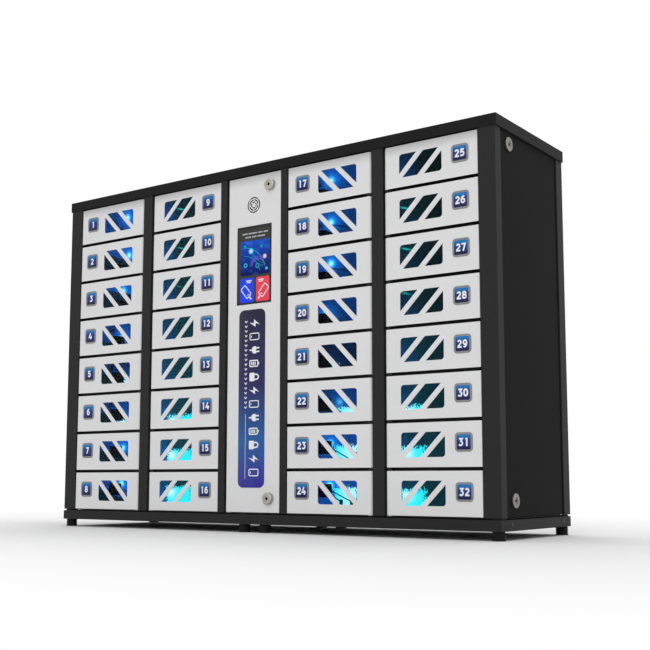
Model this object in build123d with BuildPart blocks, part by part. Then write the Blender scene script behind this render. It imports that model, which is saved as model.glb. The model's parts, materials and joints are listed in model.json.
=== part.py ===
from build123d import *
import os

# Charging locker for phones: four columns of small numbered doors round a tall control door,
# in a black sheet steel cabinet on a low base with rubber feet.
# Millimetres. X runs to the right, Y to the back and Z up from the floor.
# The origin lies on the floor, under the middle of the cabinet.

# Sizes across the front
door_width = 252.0
control_width = 178.0
corner_margin = 45.5
pair_gap = 36.5
control_gap = 25.0
side_clearance = 2.0

# Sizes up the front
row_count = 8
door_height = 102.0
door_gap = 8.0
foot_height = 20.5
base_height = 24.5
pad_height = 2.5
floor_gap = 1.5
lid_gap = 2.5
lid_height = 27.5

# Sizes to the back
body_depth = 366.0
door_recess = 2.0
stop_gap = 1.0
compartment_depth = 280.0
corner_side_face = 27.7
rear_side_face = 34.3
rear_face = 30.0

# Sheet metal
frame_sheet = 1.5
leaf_sheet = 1.5
lid_overhang_side = 3.5
lid_clearance = 0.3
post_lip = 18.0
rail_height = 20.0
floor_inset = 5.0
wall_inset = 9.0

# Doors and their pivots
nose_radius = 9.0
nose_web = 3.0
pin_radius = 2.5
pin_clearance = 0.05
lug_play = 0.4
lug_width = 12.0
lug_wall = 3.0

# Door windows
window_width = 115.5
window_height = 57.0
window_corner = 4.5
window_hinge_margin = 43.2
window_top_margin = 22.2
window_bar = 12.7
window_bar_offset = 29.5
pane_border = 5.0
pane_thickness = 2.0

# Door strikes and latches
strike_thickness = 3.0
strike_height = 16.0
strike_reach = 20.0
strike_clearance = 1.5
latch_thickness = 17.4
latch_depth = 40.0
latch_height = 32.0
latch_mouth_depth = 18.0
latch_setback = 28.0

# Control door
screen_width = 115.0
screen_height = 206.4
screen_centre_x = 2.3
screen_top = 133.0
screen_border = 7.0
screen_gap = 0.3
screen_body = 9.0
speaker_top = 78.0
speaker_slot = 3.0
speaker_pitch = 6.0
speaker_first_ring = 7.5
speaker_rings = 3
speaker_web = 2.5
speaker_flange_width = 52.0
speaker_flange = 1.5
speaker_basket_width = 46.0
speaker_basket = 6.0
speaker_taper = 35.0
speaker_magnet_radius = 15.0
speaker_magnet = 9.0
control_box_width = 110.0
control_box_height = 150.0
control_box_depth = 30.0
fin_count = 9
fin_thickness = 2.0
fin_height = 8.0
fin_margin = 4.0

# Quarter turn locks
front_lock_head = 30.0
front_lock_rise = 11.0
front_lock_free_margin = 32.5
front_lock_top = 33.0
front_lock_bottom = 35.0
side_lock_head = 33.0
side_lock_rise = 4.0
side_lock_free_margin = 40.0
side_lock_top = 27.0
side_lock_bottom = 35.5
lock_core_radius = 8.0
lock_clearance = 0.05
lock_shank = 19.0
lock_shank_length = 13.0
key_square = 7.0
key_depth = 5.0
core_sink = 1.0
cam_gap = 2.5
cam_thickness = 2.5
cam_width = 15.0
cam_overlap = 9.0
cam_shaft = 9.0

# Side panels
panel_gap = 2.0
panel_recess = 2.0
panel_nose_radius = 8.0

# Charging gear in each compartment
light_width = 110.0
light_height = 34.0
light_depth = 6.0
light_rise = 26.0
hub_size = 34.0
hub_height = 20.0
hub_setback = 136.0
hub_rise = 58.0
lead_size = 3.2
lead_count = 2
lead_spread = 8.0
plug_width = 9.0
plug_depth = 5.0
plug_height = 20.0
plug_pitch = 48.0
plug_neck = 4.0
first_plug_setback = 212.0
holder_width = 14.0
holder_height = 12.0
holder_end = 8.0

# Base, feet and back
base_bar = 30.0
base_overhang = 2.0
base_seam = 1.0
pad_size = 24.0
foot_radius = 15.0
foot_edge = 16.0
foot_middle = 33.5
vent_length = 60.0
vent_width = 5.0
vent_pitch = 14.0
vent_count = 6
vent_height = 620.0
inlet_x = 62.0
inlet_height = 110.0
inlet_flange_width = 50.0
inlet_flange_height = 28.0
inlet_flange = 2.0
inlet_body_width = 30.0
inlet_body_height = 22.0
inlet_body_depth = 24.0
inlet_cut_clearance = 0.3
inlet_recess_depth = 16.0
inlet_wall = 3.0
inlet_pin_width = 2.0
inlet_pin_height = 4.0
inlet_pin_pitch = 7.0
supply_width = 115.0
supply_height = 215.0
supply_depth = 50.0
supply_rise = 150.0
supply_chamfer = 1.5
terminal_height = 22.0
terminal_depth = 14.0

# Places worked out from the sizes
half_width = control_width / 2 + control_gap + 2 * door_width + pair_gap + corner_margin
body_width = 2 * half_width
front_y = -body_depth / 2
back_y = body_depth / 2
base_top = foot_height + base_height
floor_bottom = base_top + pad_height
floor_top = floor_bottom + frame_sheet
door_bottom = floor_top + floor_gap
row_pitch = door_height + door_gap
leaves_height = row_count * row_pitch - door_gap
leaves_top = door_bottom + leaves_height
skirt_bottom = leaves_top + lid_gap
lid_top = skirt_bottom + lid_height
post_top = lid_top - frame_sheet
post_depth = door_recess + 2 * nose_radius + stop_gap
rail_front = front_y + post_depth
rail_back = rail_front + frame_sheet
compartment_back = rail_back + compartment_depth
face_y = front_y + door_recess
pivot_y = face_y + nose_radius
pin_bore = 2 * (pin_radius + pin_clearance)
lid_overhang = frame_sheet + lid_clearance

# Hinge edges: the two doors of each pair hang back to back on both sides of the pair's post.
inner_hinge = control_width / 2 + control_gap + door_width
outer_hinge = inner_hinge + pair_gap

# One entry for each column from left to right: the hinge edge and the way the door runs from it
columns = [(-outer_hinge, -1), (-inner_hinge, 1), (inner_hinge, -1), (outer_hinge, 1)]

os.makedirs("parts", exist_ok=True)


def keep(part, name):
    """Label a finished piece and write it to its own file."""
    part.label = name
    export_step(part, f"parts/{name}.step")


def keep_group(pieces, name):
    """Write pieces that touch face to face as separate solids of one node."""
    keep(Compound([solid for piece in pieces for solid in piece.solids()]), name)


def shelf_z(level):
    """Height of the middle of the gap under a row, where level 0 lies under the lowest row."""
    return door_bottom - door_gap / 2 + level * row_pitch


def column_edges(hinge, way):
    """Left and right edges of a column's doors."""
    return sorted((hinge, hinge + way * door_width))


def wall_faces(hinge, way):
    """X of a compartment's inner wall faces at the hinge side and at the free side."""
    return hinge + way * wall_inset, hinge + way * (door_width - wall_inset)


# Leaves: folded pans welded to a round nosed hinge bar, with a square bore that the round rod fills
def folded_leaf(width, height, radius):
    """A pan pivoted on the local Z axis, which runs along +X, faces -Y and stands on Z = 0."""
    free_x = width - radius
    web_x = pin_radius + nose_web
    with BuildPart() as leaf:
        with BuildSketch():
            with BuildLine():
                Polyline(
                    (0, -radius), (free_x, -radius), (free_x, radius), (0, radius), (-radius, 0)
                )
                RadiusArc((-radius, 0), (0, -radius), -radius)
            make_face()
        extrude(amount=height)
        with BuildSketch(Plane.XY.offset(leaf_sheet)):
            with Locations((web_x, leaf_sheet - radius)):
                Rectangle(
                    free_x - leaf_sheet - web_x,
                    2 * radius - leaf_sheet,
                    align=(Align.MIN, Align.MIN),
                )
        extrude(amount=height - 2 * leaf_sheet, mode=Mode.SUBTRACT)
        with BuildSketch():
            Rectangle(pin_bore, pin_bore)
        extrude(amount=height, mode=Mode.SUBTRACT)
    return leaf.part


def lock_hole_cut(x, z, radius):
    """Square hole for a lock's shank through a leaf's face."""
    with BuildSketch(Plane.XZ.offset(radius)) as hole:
        with Locations((x, z)):
            Rectangle(lock_shank, lock_shank)
    extrude(hole.sketch, amount=-leaf_sheet, mode=Mode.SUBTRACT)


# Quarter turn locks, built with their axis on Y and the leaf's face at Y = 0
def lock_housing(head, rise):
    """Fixed round head in front of the sheet, with a square shank through it."""
    with BuildPart() as housing:
        with BuildSketch(Plane.XZ):
            Circle(head / 2)
        extrude(amount=rise)
        with BuildSketch(Plane.XZ):
            Rectangle(lock_shank, lock_shank)
        extrude(amount=-lock_shank_length)
        with BuildSketch(Plane.XZ.offset(rise)):
            Circle(lock_core_radius + lock_clearance)
        extrude(amount=-(rise + lock_shank_length), mode=Mode.SUBTRACT)
    return housing.part


def lock_core(rise, leaf_depth, reach, down):
    """Turning core with its key recess, and the cam that points up or down while unlocked."""
    front = rise - core_sink
    cam_front = leaf_depth + cam_gap
    way = -1 if down else 1
    with BuildPart() as core:
        with BuildSketch(Plane.XZ.offset(front)):
            Circle(lock_core_radius)
        extrude(amount=-(front + lock_shank_length))
        with BuildSketch(Plane.XZ.offset(-lock_shank_length)):
            Rectangle(cam_shaft, cam_shaft)
        extrude(amount=-(cam_front + cam_thickness - lock_shank_length))
        with BuildSketch(Plane.XZ.offset(-cam_front)):
            with Locations((0, way * (reach - cam_width / 2) / 2)):
                Rectangle(cam_width, reach + cam_width / 2)
        extrude(amount=-cam_thickness)
        with BuildSketch(Plane.XZ.offset(front)):
            Rectangle(key_square, key_square, rotation=45)
        extrude(amount=-key_depth, mode=Mode.SUBTRACT)
    return core.part


# Compartment doors
def door_skin():
    """A leaf with the window, which two slanting bars cut in three."""
    window_x = window_hinge_margin - nose_radius + window_width / 2
    window_z = door_height - window_top_margin - window_height / 2
    with BuildPart() as skin:
        add(folded_leaf(door_width, door_height, nose_radius))
        with BuildSketch(Plane.XZ.offset(nose_radius)) as window:
            with Locations((window_x, window_z)):
                Rectangle(window_width, window_height)
            chamfer(window.vertices(), window_corner)
            with Locations(
                (window_x - window_bar_offset, window_z), (window_x + window_bar_offset, window_z)
            ):
                Rectangle(2 * window_height, window_bar, rotation=45, mode=Mode.SUBTRACT)
        extrude(amount=-leaf_sheet, mode=Mode.SUBTRACT)
    return skin.part


def door_pane():
    """Clear pane fixed behind the window."""
    window_x = window_hinge_margin - nose_radius + window_width / 2
    window_z = door_height - window_top_margin - window_height / 2
    with BuildPart() as pane:
        with BuildSketch(Plane.XZ.offset(nose_radius - leaf_sheet)):
            with Locations((window_x, window_z)):
                Rectangle(window_width + 2 * pane_border, window_height + 2 * pane_border)
        extrude(amount=-pane_thickness)
    return pane.part


def door_strike():
    """Tongue behind the free edge, which the latch takes hold of."""
    start = leaf_sheet - nose_radius
    tip = nose_radius + strike_reach
    side = door_width - nose_radius - leaf_sheet
    with BuildPart() as strike:
        with BuildSketch(Plane.YZ.offset(side)):
            with Locations((start, door_height / 2)):
                Rectangle(tip - start, strike_height, align=(Align.MIN, Align.CENTER))
        extrude(amount=-strike_thickness)
    return strike.part


left_hinged_door = [door_skin(), door_pane(), door_strike()]
right_hinged_door = [mirror(piece, about=Plane.YZ) for piece in left_hinged_door]

number = 0
for hinge, way in columns:
    pieces = left_hinged_door if way > 0 else right_hinged_door
    for row in range(row_count):
        number += 1
        place = Pos(hinge + way * nose_radius, pivot_y, shelf_z(row_count - 1 - row) + door_gap / 2)
        keep_group([place * piece for piece in pieces], f"door_{number:02d}")


# Control door, hinged at its left edge
control_left = -control_width / 2
control_pivot_x = control_left + nose_radius
control_lock_x = control_width - nose_radius - front_lock_free_margin
screen_x = screen_centre_x - control_pivot_x
screen_z = leaves_height - screen_top - screen_height / 2
speaker_x = -control_pivot_x
speaker_z = leaves_height - speaker_top
front_lock_heights = (front_lock_bottom, leaves_height - front_lock_top)
control_place = Pos(control_pivot_x, pivot_y, door_bottom)

with BuildPart() as control_leaf:
    add(folded_leaf(control_width, leaves_height, nose_radius))
    for lock_z in front_lock_heights:
        lock_hole_cut(control_lock_x, lock_z, nose_radius)
    with BuildSketch(Plane.XZ.offset(nose_radius)):
        with Locations((screen_x, screen_z)):
            Rectangle(screen_width, screen_height)
    extrude(amount=-leaf_sheet, mode=Mode.SUBTRACT)
    for ring in range(speaker_rings):
        ring_radius = speaker_first_ring + ring * speaker_pitch
        with BuildSketch(Plane.XZ.offset(nose_radius)):
            with Locations((speaker_x, speaker_z)):
                Circle(ring_radius + speaker_slot / 2)
                Circle(ring_radius - speaker_slot / 2, mode=Mode.SUBTRACT)
                Rectangle(
                    3 * ring_radius, speaker_web, rotation=45 + 45 * ring, mode=Mode.SUBTRACT
                )
                Rectangle(
                    3 * ring_radius, speaker_web, rotation=135 + 45 * ring, mode=Mode.SUBTRACT
                )
        extrude(amount=-leaf_sheet, mode=Mode.SUBTRACT)

front_housing = lock_housing(front_lock_head, front_lock_rise)
front_housings = [
    Pos(control_lock_x, -nose_radius, lock_z) * front_housing for lock_z in front_lock_heights
]
keep_group(
    [control_place * piece for piece in [control_leaf.part, *front_housings]],
    "control_door",
)

# Touch screen: glass flush in the door's opening, on a thinner body that overlaps the edges behind
with BuildPart() as screen_front:
    with BuildSketch(Plane.XZ.offset(nose_radius)):
        with Locations((screen_x, screen_z)):
            Rectangle(screen_width - 2 * screen_gap, screen_height - 2 * screen_gap)
    extrude(amount=-leaf_sheet)
with BuildPart() as screen_back:
    with BuildSketch(Plane.XZ.offset(nose_radius - leaf_sheet)):
        with Locations((screen_x, screen_z)):
            Rectangle(screen_width + 2 * screen_border, screen_height + 2 * screen_border)
    extrude(amount=-screen_body)
keep_group([control_place * screen_front.part, control_place * screen_back.part], "touch_screen")

# Control unit: a finned aluminium case on the back of the screen
with BuildPart() as control_unit:
    with BuildSketch(Plane.XZ.offset(nose_radius - leaf_sheet - screen_body)):
        with Locations((screen_x, screen_z)):
            Rectangle(control_box_width, control_box_height)
    extrude(amount=-control_box_depth)
    with BuildSketch(Plane.XZ.offset(nose_radius - leaf_sheet - screen_body - control_box_depth)):
        with Locations((screen_x, screen_z)):
            with GridLocations(
                (control_box_width - 4 * fin_thickness) / (fin_count - 1), 0, fin_count, 1
            ):
                Rectangle(fin_thickness, control_box_height - 2 * fin_margin)
    extrude(amount=-fin_height)
keep(control_place * control_unit.part, "control_unit")

# Speaker behind the slots: square flange and basket, and a round magnet
with BuildPart() as speaker:
    with BuildSketch(Plane.XZ.offset(nose_radius - leaf_sheet)):
        with Locations((speaker_x, speaker_z)):
            Rectangle(speaker_flange_width, speaker_flange_width)
    extrude(amount=-speaker_flange)
    with BuildSketch(Plane.XZ.offset(nose_radius - leaf_sheet - speaker_flange)):
        with Locations((speaker_x, speaker_z)):
            Rectangle(speaker_basket_width, speaker_basket_width)
    extrude(amount=-speaker_basket, taper=speaker_taper)
    with BuildSketch(Plane.XZ.offset(nose_radius - leaf_sheet - speaker_flange - speaker_basket)):
        with Locations((speaker_x, speaker_z)):
            Circle(speaker_magnet_radius)
    extrude(amount=-speaker_magnet)
keep(control_place * speaker.part, "speaker")

# Front lock cores: the upper cam points down and the lower one up
front_cam_reach = front_lock_free_margin + side_clearance + cam_overlap
for name, lock_z, down in (
    ("front_lock_upper", front_lock_heights[1], True),
    ("front_lock_lower", front_lock_heights[0], False),
):
    core = lock_core(front_lock_rise, 2 * nose_radius, front_cam_reach, down)
    keep(control_place * Pos(control_lock_x, -nose_radius, lock_z) * core, name)


# Side panels: leaves hinged at the rear post, with two locks at the front edge
panel_width = body_depth - corner_side_face - rear_side_face - 2 * panel_gap
panel_height = skirt_bottom - floor_gap - door_bottom
panel_lock_x = panel_width - panel_nose_radius - side_lock_free_margin
panel_pivot_x = half_width - panel_recess - panel_nose_radius
panel_pivot_y = back_y - rear_side_face - panel_gap - panel_nose_radius
panel_lock_heights = (side_lock_bottom, panel_height - side_lock_top)
side_cam_reach = side_lock_free_margin + panel_gap + cam_overlap
left_panel_place = Pos(-panel_pivot_x, panel_pivot_y, door_bottom) * Rot(0, 0, -90)
right_panel_place = Pos(panel_pivot_x, panel_pivot_y, door_bottom) * Rot(0, 0, 90)

with BuildPart() as panel_leaf:
    add(folded_leaf(panel_width, panel_height, panel_nose_radius))
    for lock_z in panel_lock_heights:
        lock_hole_cut(panel_lock_x, lock_z, panel_nose_radius)

side_housing = lock_housing(side_lock_head, side_lock_rise)
panel_pieces = [panel_leaf.part] + [
    Pos(panel_lock_x, -panel_nose_radius, lock_z) * side_housing for lock_z in panel_lock_heights
]
keep_group([left_panel_place * piece for piece in panel_pieces], "side_panel_left")
keep_group(
    [right_panel_place * mirror(piece, about=Plane.YZ) for piece in panel_pieces],
    "side_panel_right",
)
for level, lock_z, down in (
    ("upper", panel_lock_heights[1], True),
    ("lower", panel_lock_heights[0], False),
):
    core = lock_core(side_lock_rise, 2 * panel_nose_radius, side_cam_reach, down)
    core = Pos(panel_lock_x, -panel_nose_radius, lock_z) * core
    keep(left_panel_place * core, f"side_lock_left_{level}")
    keep(right_panel_place * mirror(core, about=Plane.YZ), f"side_lock_right_{level}")


# Frame posts: folded channels that stand on the floor plate and carry the lid
def channel_post(left, right):
    """Front post between two openings: a face with two returns, open to the back."""
    with BuildSketch(Plane.XY.offset(floor_top)) as profile:
        with Locations((left, front_y)):
            Rectangle(right - left, post_depth, align=(Align.MIN, Align.MIN))
        with Locations((left + frame_sheet, front_y + frame_sheet)):
            Rectangle(
                right - left - 2 * frame_sheet,
                post_depth,
                align=(Align.MIN, Align.MIN),
                mode=Mode.SUBTRACT,
            )
    extrude(profile.sketch, amount=post_top - floor_top)


def corner_posts():
    """Right front and right rear posts, each with a lip turned in beside the panel."""
    inner_x = half_width - corner_margin + side_clearance
    front_lip_y = front_y + corner_side_face
    rear_lip_y = back_y - rear_side_face
    lip_x = half_width - post_lip
    with BuildSketch(Plane.XY.offset(floor_top)) as profile:
        with BuildLine():
            Polyline(
                (inner_x, front_y + post_depth),
                (inner_x, front_y),
                (half_width, front_y),
                (half_width, front_lip_y),
                (lip_x, front_lip_y),
                (lip_x, front_lip_y - frame_sheet),
                (half_width - frame_sheet, front_lip_y - frame_sheet),
                (half_width - frame_sheet, front_y + frame_sheet),
                (inner_x + frame_sheet, front_y + frame_sheet),
                (inner_x + frame_sheet, front_y + post_depth),
                close=True,
            )
        make_face()
        with BuildLine():
            Polyline(
                (half_width - rear_face, back_y),
                (half_width, back_y),
                (half_width, rear_lip_y),
                (lip_x, rear_lip_y),
                (lip_x, rear_lip_y + frame_sheet),
                (half_width - frame_sheet, rear_lip_y + frame_sheet),
                (half_width - frame_sheet, back_y - frame_sheet),
                (half_width - rear_face, back_y - frame_sheet),
                close=True,
            )
        make_face()
    extrude(profile.sketch, amount=post_top - floor_top)


pair_left = inner_hinge + side_clearance
pair_right = outer_hinge - side_clearance
control_post_left = control_width / 2 + side_clearance
control_post_right = control_width / 2 + control_gap - side_clearance
with BuildPart() as frame_posts:
    corner_posts()
    channel_post(pair_left, pair_right)
    channel_post(control_post_left, control_post_right)
    mirror(about=Plane.YZ)
keep(frame_posts.part, "frame_posts")

# Rails behind the gaps between the doors, and the top rails over the side panels
with BuildPart() as cross_rails:
    openings = [column_edges(hinge, way) + [range(row_count + 1)] for hinge, way in columns]
    openings.append([-control_width / 2, control_width / 2, (0, row_count)])
    for left, right, levels in openings:
        rail_left = left - side_clearance - frame_sheet
        rail_length = right - left + 2 * (side_clearance + frame_sheet)
        for level in levels:
            low = max(shelf_z(level) - rail_height / 2, floor_top)
            high = shelf_z(level) + rail_height / 2
            with Locations((rail_left, rail_front, low)):
                Box(rail_length, frame_sheet, high - low, align=(Align.MIN, Align.MIN, Align.MIN))
    side_rail_y = front_y + corner_side_face
    side_rail_length = back_y - rear_side_face - side_rail_y
    for side in (-1, 1):
        with Locations((side * (half_width - post_lip / 2), side_rail_y, skirt_bottom)):
            Box(
                post_lip,
                side_rail_length,
                frame_sheet,
                align=(Align.CENTER, Align.MIN, Align.MIN),
            )
keep(cross_rails.part, "cross_rails")

with BuildPart() as floor_plate:
    with Locations((0, 0, floor_bottom)):
        Box(
            body_width - 2 * floor_inset,
            body_depth - 2 * floor_inset,
            frame_sheet,
            align=(Align.CENTER, Align.CENTER, Align.MIN),
        )
keep(floor_plate.part, "floor_plate")

with BuildPart() as top_cover:
    lid_length = body_width + 2 * lid_overhang_side
    lid_depth = body_depth + 2 * lid_overhang
    with BuildSketch(Plane.XY.offset(skirt_bottom)):
        Rectangle(lid_length, lid_depth)
    extrude(amount=lid_height)
    offset(amount=-frame_sheet, openings=top_cover.faces().sort_by(Axis.Z)[0])
keep(top_cover.part, "top_cover")

# Rear panel between the rear posts' flanges, with ventilation slots and the cut-out for the inlet
panel_back_y = back_y - frame_sheet
panel_half = half_width - frame_sheet
with BuildPart() as rear_panel:
    with BuildSketch(Plane.XZ.offset(-panel_back_y)):
        with Locations((0, floor_top)):
            Rectangle(2 * panel_half, post_top - floor_top, align=(Align.CENTER, Align.MIN))
        with Locations((0, vent_height)):
            with GridLocations(0, vent_pitch, 1, vent_count):
                Rectangle(vent_length, vent_width, mode=Mode.SUBTRACT)
        with Locations((inlet_x, inlet_height)):
            Rectangle(
                inlet_body_width + 2 * inlet_cut_clearance,
                inlet_body_height + 2 * inlet_cut_clearance,
                mode=Mode.SUBTRACT,
            )
    extrude(amount=frame_sheet)
keep(rear_panel.part, "rear_panel")

with BuildPart() as power_inlet:
    with BuildSketch(Plane.XZ.offset(-panel_back_y)):
        with Locations((inlet_x, inlet_height)):
            Rectangle(inlet_flange_width, inlet_flange_height)
    extrude(amount=-inlet_flange)
    with BuildSketch(Plane.XZ.offset(-panel_back_y)):
        with Locations((inlet_x, inlet_height)):
            Rectangle(inlet_body_width, inlet_body_height)
    extrude(amount=inlet_body_depth)
    with BuildSketch(Plane.XZ.offset(-panel_back_y - inlet_flange)):
        with Locations((inlet_x, inlet_height)):
            Rectangle(inlet_body_width - 2 * inlet_wall, inlet_body_height - 2 * inlet_wall)
    extrude(amount=inlet_recess_depth, mode=Mode.SUBTRACT)
    with BuildSketch(Plane.XZ.offset(-panel_back_y)):
        with Locations((inlet_x, inlet_height)):
            with GridLocations(inlet_pin_pitch, 0, 3, 1):
                Rectangle(inlet_pin_width, inlet_pin_height)
    extrude(amount=inlet_recess_depth)
keep(power_inlet.part, "power_inlet")

# Compartments: side walls, back plates and shelves as separate plates
wall_height = post_top - floor_top
with BuildPart() as side_walls:
    for hinge, way in columns:
        hinge_face, free_face = wall_faces(hinge, way)
        for wall_x in (hinge_face - way * frame_sheet / 2, free_face + way * frame_sheet / 2):
            with Locations((wall_x, rail_back, floor_top)):
                Box(
                    frame_sheet,
                    compartment_depth,
                    wall_height,
                    align=(Align.CENTER, Align.MIN, Align.MIN),
                )
with BuildPart() as back_plates:
    for hinge, way in columns:
        left, right = column_edges(hinge, way)
        with Locations(((left + right) / 2, compartment_back, floor_top)):
            Box(
                door_width - 2 * wall_inset + 2 * frame_sheet,
                frame_sheet,
                wall_height,
                align=(Align.CENTER, Align.MIN, Align.MIN),
            )
keep_group([side_walls.part, back_plates.part], "compartment_walls")

with BuildPart() as shelf_plate:
    Box(
        door_width - 2 * wall_inset,
        compartment_depth,
        frame_sheet,
        align=(Align.CENTER, Align.MIN, Align.CENTER),
    )
shelves = [
    Pos(hinge + way * door_width / 2, rail_back, shelf_z(level)) * shelf_plate.part
    for hinge, way in columns
    for level in range(1, row_count + 1)
]
keep_group(shelves, "compartment_shelves")


# Heights that the compartments' pieces stand on: the gaps under the rows, and the compartments' floors
row_heights = [shelf_z(level) for level in range(row_count)]
compartment_floors = [floor_top] + [height + frame_sheet / 2 for height in row_heights[1:]]


def in_every_compartment(piece, heights):
    """Copies of a piece made for a compartment whose free side wall stands on the right at X = 0."""
    mirrored = mirror(piece, about=Plane.YZ)
    return [
        Pos(wall_faces(hinge, way)[1], 0, height) * (piece if way > 0 else mirrored)
        for hinge, way in columns
        for height in heights
    ]


# Pivots: one long rod for each column of doors, held in lugs on the rails
def pivot_rod(x, y, top):
    """Rod from its thrust plate on the floor plate up to a height, and the plate."""
    plate_height = floor_gap - lug_play
    with Locations((x, y, floor_top)):
        Box(lug_width, lug_width, plate_height, align=(Align.CENTER, Align.CENTER, Align.MIN))
    rod_low = floor_top + plate_height
    with Locations((x, y, rod_low)):
        Cylinder(pin_radius, top - rod_low, align=(Align.CENTER, Align.CENTER, Align.MIN))


def pivot_lug(x, z, thickness):
    """Lug that reaches from the rail round the rod."""
    lug_front = pivot_y - pin_bore / 2 - lug_wall
    with BuildSketch(Plane.XY.offset(z - thickness / 2)) as outline:
        with Locations((x, lug_front)):
            Rectangle(lug_width, rail_front - lug_front, align=(Align.CENTER, Align.MIN))
        with Locations((x, pivot_y)):
            Rectangle(pin_bore, pin_bore, mode=Mode.SUBTRACT)
    extrude(outline.sketch, amount=thickness)


lug_thickness = door_gap - 2 * lug_play
column_rod_top = shelf_z(row_count) + lug_thickness / 2
with BuildPart() as rods:
    for hinge, way in columns:
        pivot_rod(hinge + way * nose_radius, pivot_y, column_rod_top)
    pivot_rod(control_pivot_x, pivot_y, column_rod_top)
    for side in (-1, 1):
        pivot_rod(side * panel_pivot_x, panel_pivot_y, skirt_bottom)
with BuildPart() as lugs:
    for hinge, way in columns:
        for level in range(1, row_count + 1):
            pivot_lug(hinge + way * nose_radius, shelf_z(level), lug_thickness)
    pivot_lug(control_pivot_x, shelf_z(row_count), lug_thickness)
keep_group([rods.part, lugs.part], "hinge_pivots")


# Latches outside the free side walls, each with a mouth for its door's strike
mouth_width = strike_thickness + 2 * strike_clearance
mouth_x = wall_inset - leaf_sheet - strike_thickness / 2
strike_middle = (door_height + door_gap) / 2
with BuildPart() as latch:
    with Locations((frame_sheet, front_y + latch_setback, strike_middle)):
        Box(latch_thickness, latch_depth, latch_height, align=(Align.MIN, Align.MIN, Align.CENTER))
    mouth_low = strike_middle - strike_height / 2 - strike_clearance
    with Locations((mouth_x, front_y + latch_setback, mouth_low)):
        Box(
            mouth_width,
            latch_mouth_depth,
            latch_height,
            align=(Align.CENTER, Align.MIN, Align.MIN),
            mode=Mode.SUBTRACT,
        )
keep_group(in_every_compartment(latch.part, row_heights), "door_latches")

# Light panels low on the back plates
with BuildPart() as light_bar:
    with Locations((-(door_width / 2 - wall_inset), compartment_back, light_rise)):
        Box(light_width, light_depth, light_height, align=(Align.CENTER, Align.MAX, Align.MIN))
keep_group(in_every_compartment(light_bar.part, row_heights), "light_bars")

# Charging gear on the free side wall: a lead hub, and leads pulled tight to plugs on a holder
lead_x = -holder_width / 2
lead_start_y = front_y + hub_setback + hub_size / 2
with BuildPart() as hub:
    with Locations((-hub_height / 2, front_y + hub_setback, hub_rise)):
        Box(hub_height, hub_size, hub_size)
with BuildPart() as holder:
    with Locations((lead_x, front_y + first_plug_setback - holder_end, 0)):
        Box(
            holder_width,
            (lead_count - 1) * plug_pitch + 2 * holder_end,
            holder_height,
            align=(Align.CENTER, Align.MIN, Align.MIN),
        )
keep_group(
    in_every_compartment(hub.part, row_heights)
    + in_every_compartment(holder.part, compartment_floors),
    "charging_hubs",
)

leads = []
for order in range(lead_count):
    plug_y = front_y + first_plug_setback + order * plug_pitch
    start_z = hub_rise + (order - (lead_count - 1) / 2) * lead_spread
    end_z = frame_sheet / 2 + holder_height + plug_height - plug_neck
    run = Vector(0, plug_y - plug_depth / 2 - lead_start_y, end_z - start_z)
    with BuildPart() as plug:
        with Locations((lead_x, plug_y, holder_height)):
            Box(plug_width, plug_depth, plug_height, align=(Align.CENTER, Align.CENTER, Align.MIN))
    with BuildPart() as lead:
        with BuildSketch(Plane.XZ.offset(-lead_start_y)):
            with Locations((lead_x, start_z)):
                Rectangle(lead_size, lead_size)
        extrude(amount=run.length, dir=run.normalized())
    leads += in_every_compartment(plug.part, compartment_floors)
    leads += in_every_compartment(lead.part, row_heights)
keep_group(leads, "charging_leads")

# Power supply on the inside of the rear panel
with BuildPart() as power_supply:
    with BuildSketch(Plane.XZ.offset(-panel_back_y + frame_sheet)):
        with Locations((0, floor_top + supply_rise)):
            Rectangle(supply_width, supply_height, align=(Align.CENTER, Align.MIN))
    extrude(amount=supply_depth)
    chamfer(power_supply.edges().filter_by(Axis.Z).group_by(Axis.Y)[0], supply_chamfer)
    with BuildSketch(Plane.XZ.offset(-panel_back_y + frame_sheet)):
        with Locations((0, floor_top + supply_rise)):
            Rectangle(supply_width, terminal_height, align=(Align.CENTER, Align.MAX))
    extrude(amount=terminal_depth)
keep(power_supply.part, "power_supply")


# Base in two halves, each a frame of four bars with pads under the floor plate
base_depth = body_depth + 2 * base_overhang
base_inner = base_seam / 2
with BuildPart() as base_frame_bars:
    for side in (-1, 1):
        middle_x = side * (base_inner + half_width) / 2
        bar_length = half_width - base_inner
        for end in (-1, 1):
            with Locations((middle_x, end * (base_depth - base_bar) / 2, foot_height)):
                Box(bar_length, base_bar, base_height, align=(Align.CENTER, Align.CENTER, Align.MIN))
with BuildPart() as base_cross_bars:
    for side in (-1, 1):
        for x in (half_width - base_bar / 2, base_inner + base_bar / 2):
            with Locations((side * x, 0, foot_height)):
                Box(
                    base_bar,
                    base_depth - 2 * base_bar,
                    base_height,
                    align=(Align.CENTER, Align.CENTER, Align.MIN),
                )
foot_y = body_depth / 2 - foot_edge
foot_xs = (-half_width + foot_edge, -foot_middle, foot_middle, half_width - foot_edge)
with BuildPart() as base_pads:
    for x in foot_xs:
        for y in (-foot_y, foot_y):
            with Locations((x, y, base_top)):
                Box(pad_size, pad_size, pad_height, align=(Align.CENTER, Align.CENTER, Align.MIN))
keep_group([base_frame_bars.part, base_cross_bars.part, base_pads.part], "base_frame")

with BuildPart() as foot:
    with BuildSketch():
        Circle(foot_radius)
    extrude(amount=foot_height)
with BuildPart() as rubber_feet:
    with Locations(*[(x, y, 0) for x in foot_xs for y in (-foot_y, foot_y)]):
        add(foot.part)
keep(rubber_feet.part, "rubber_feet")
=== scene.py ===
import json
import math
from contextlib import contextmanager

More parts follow.
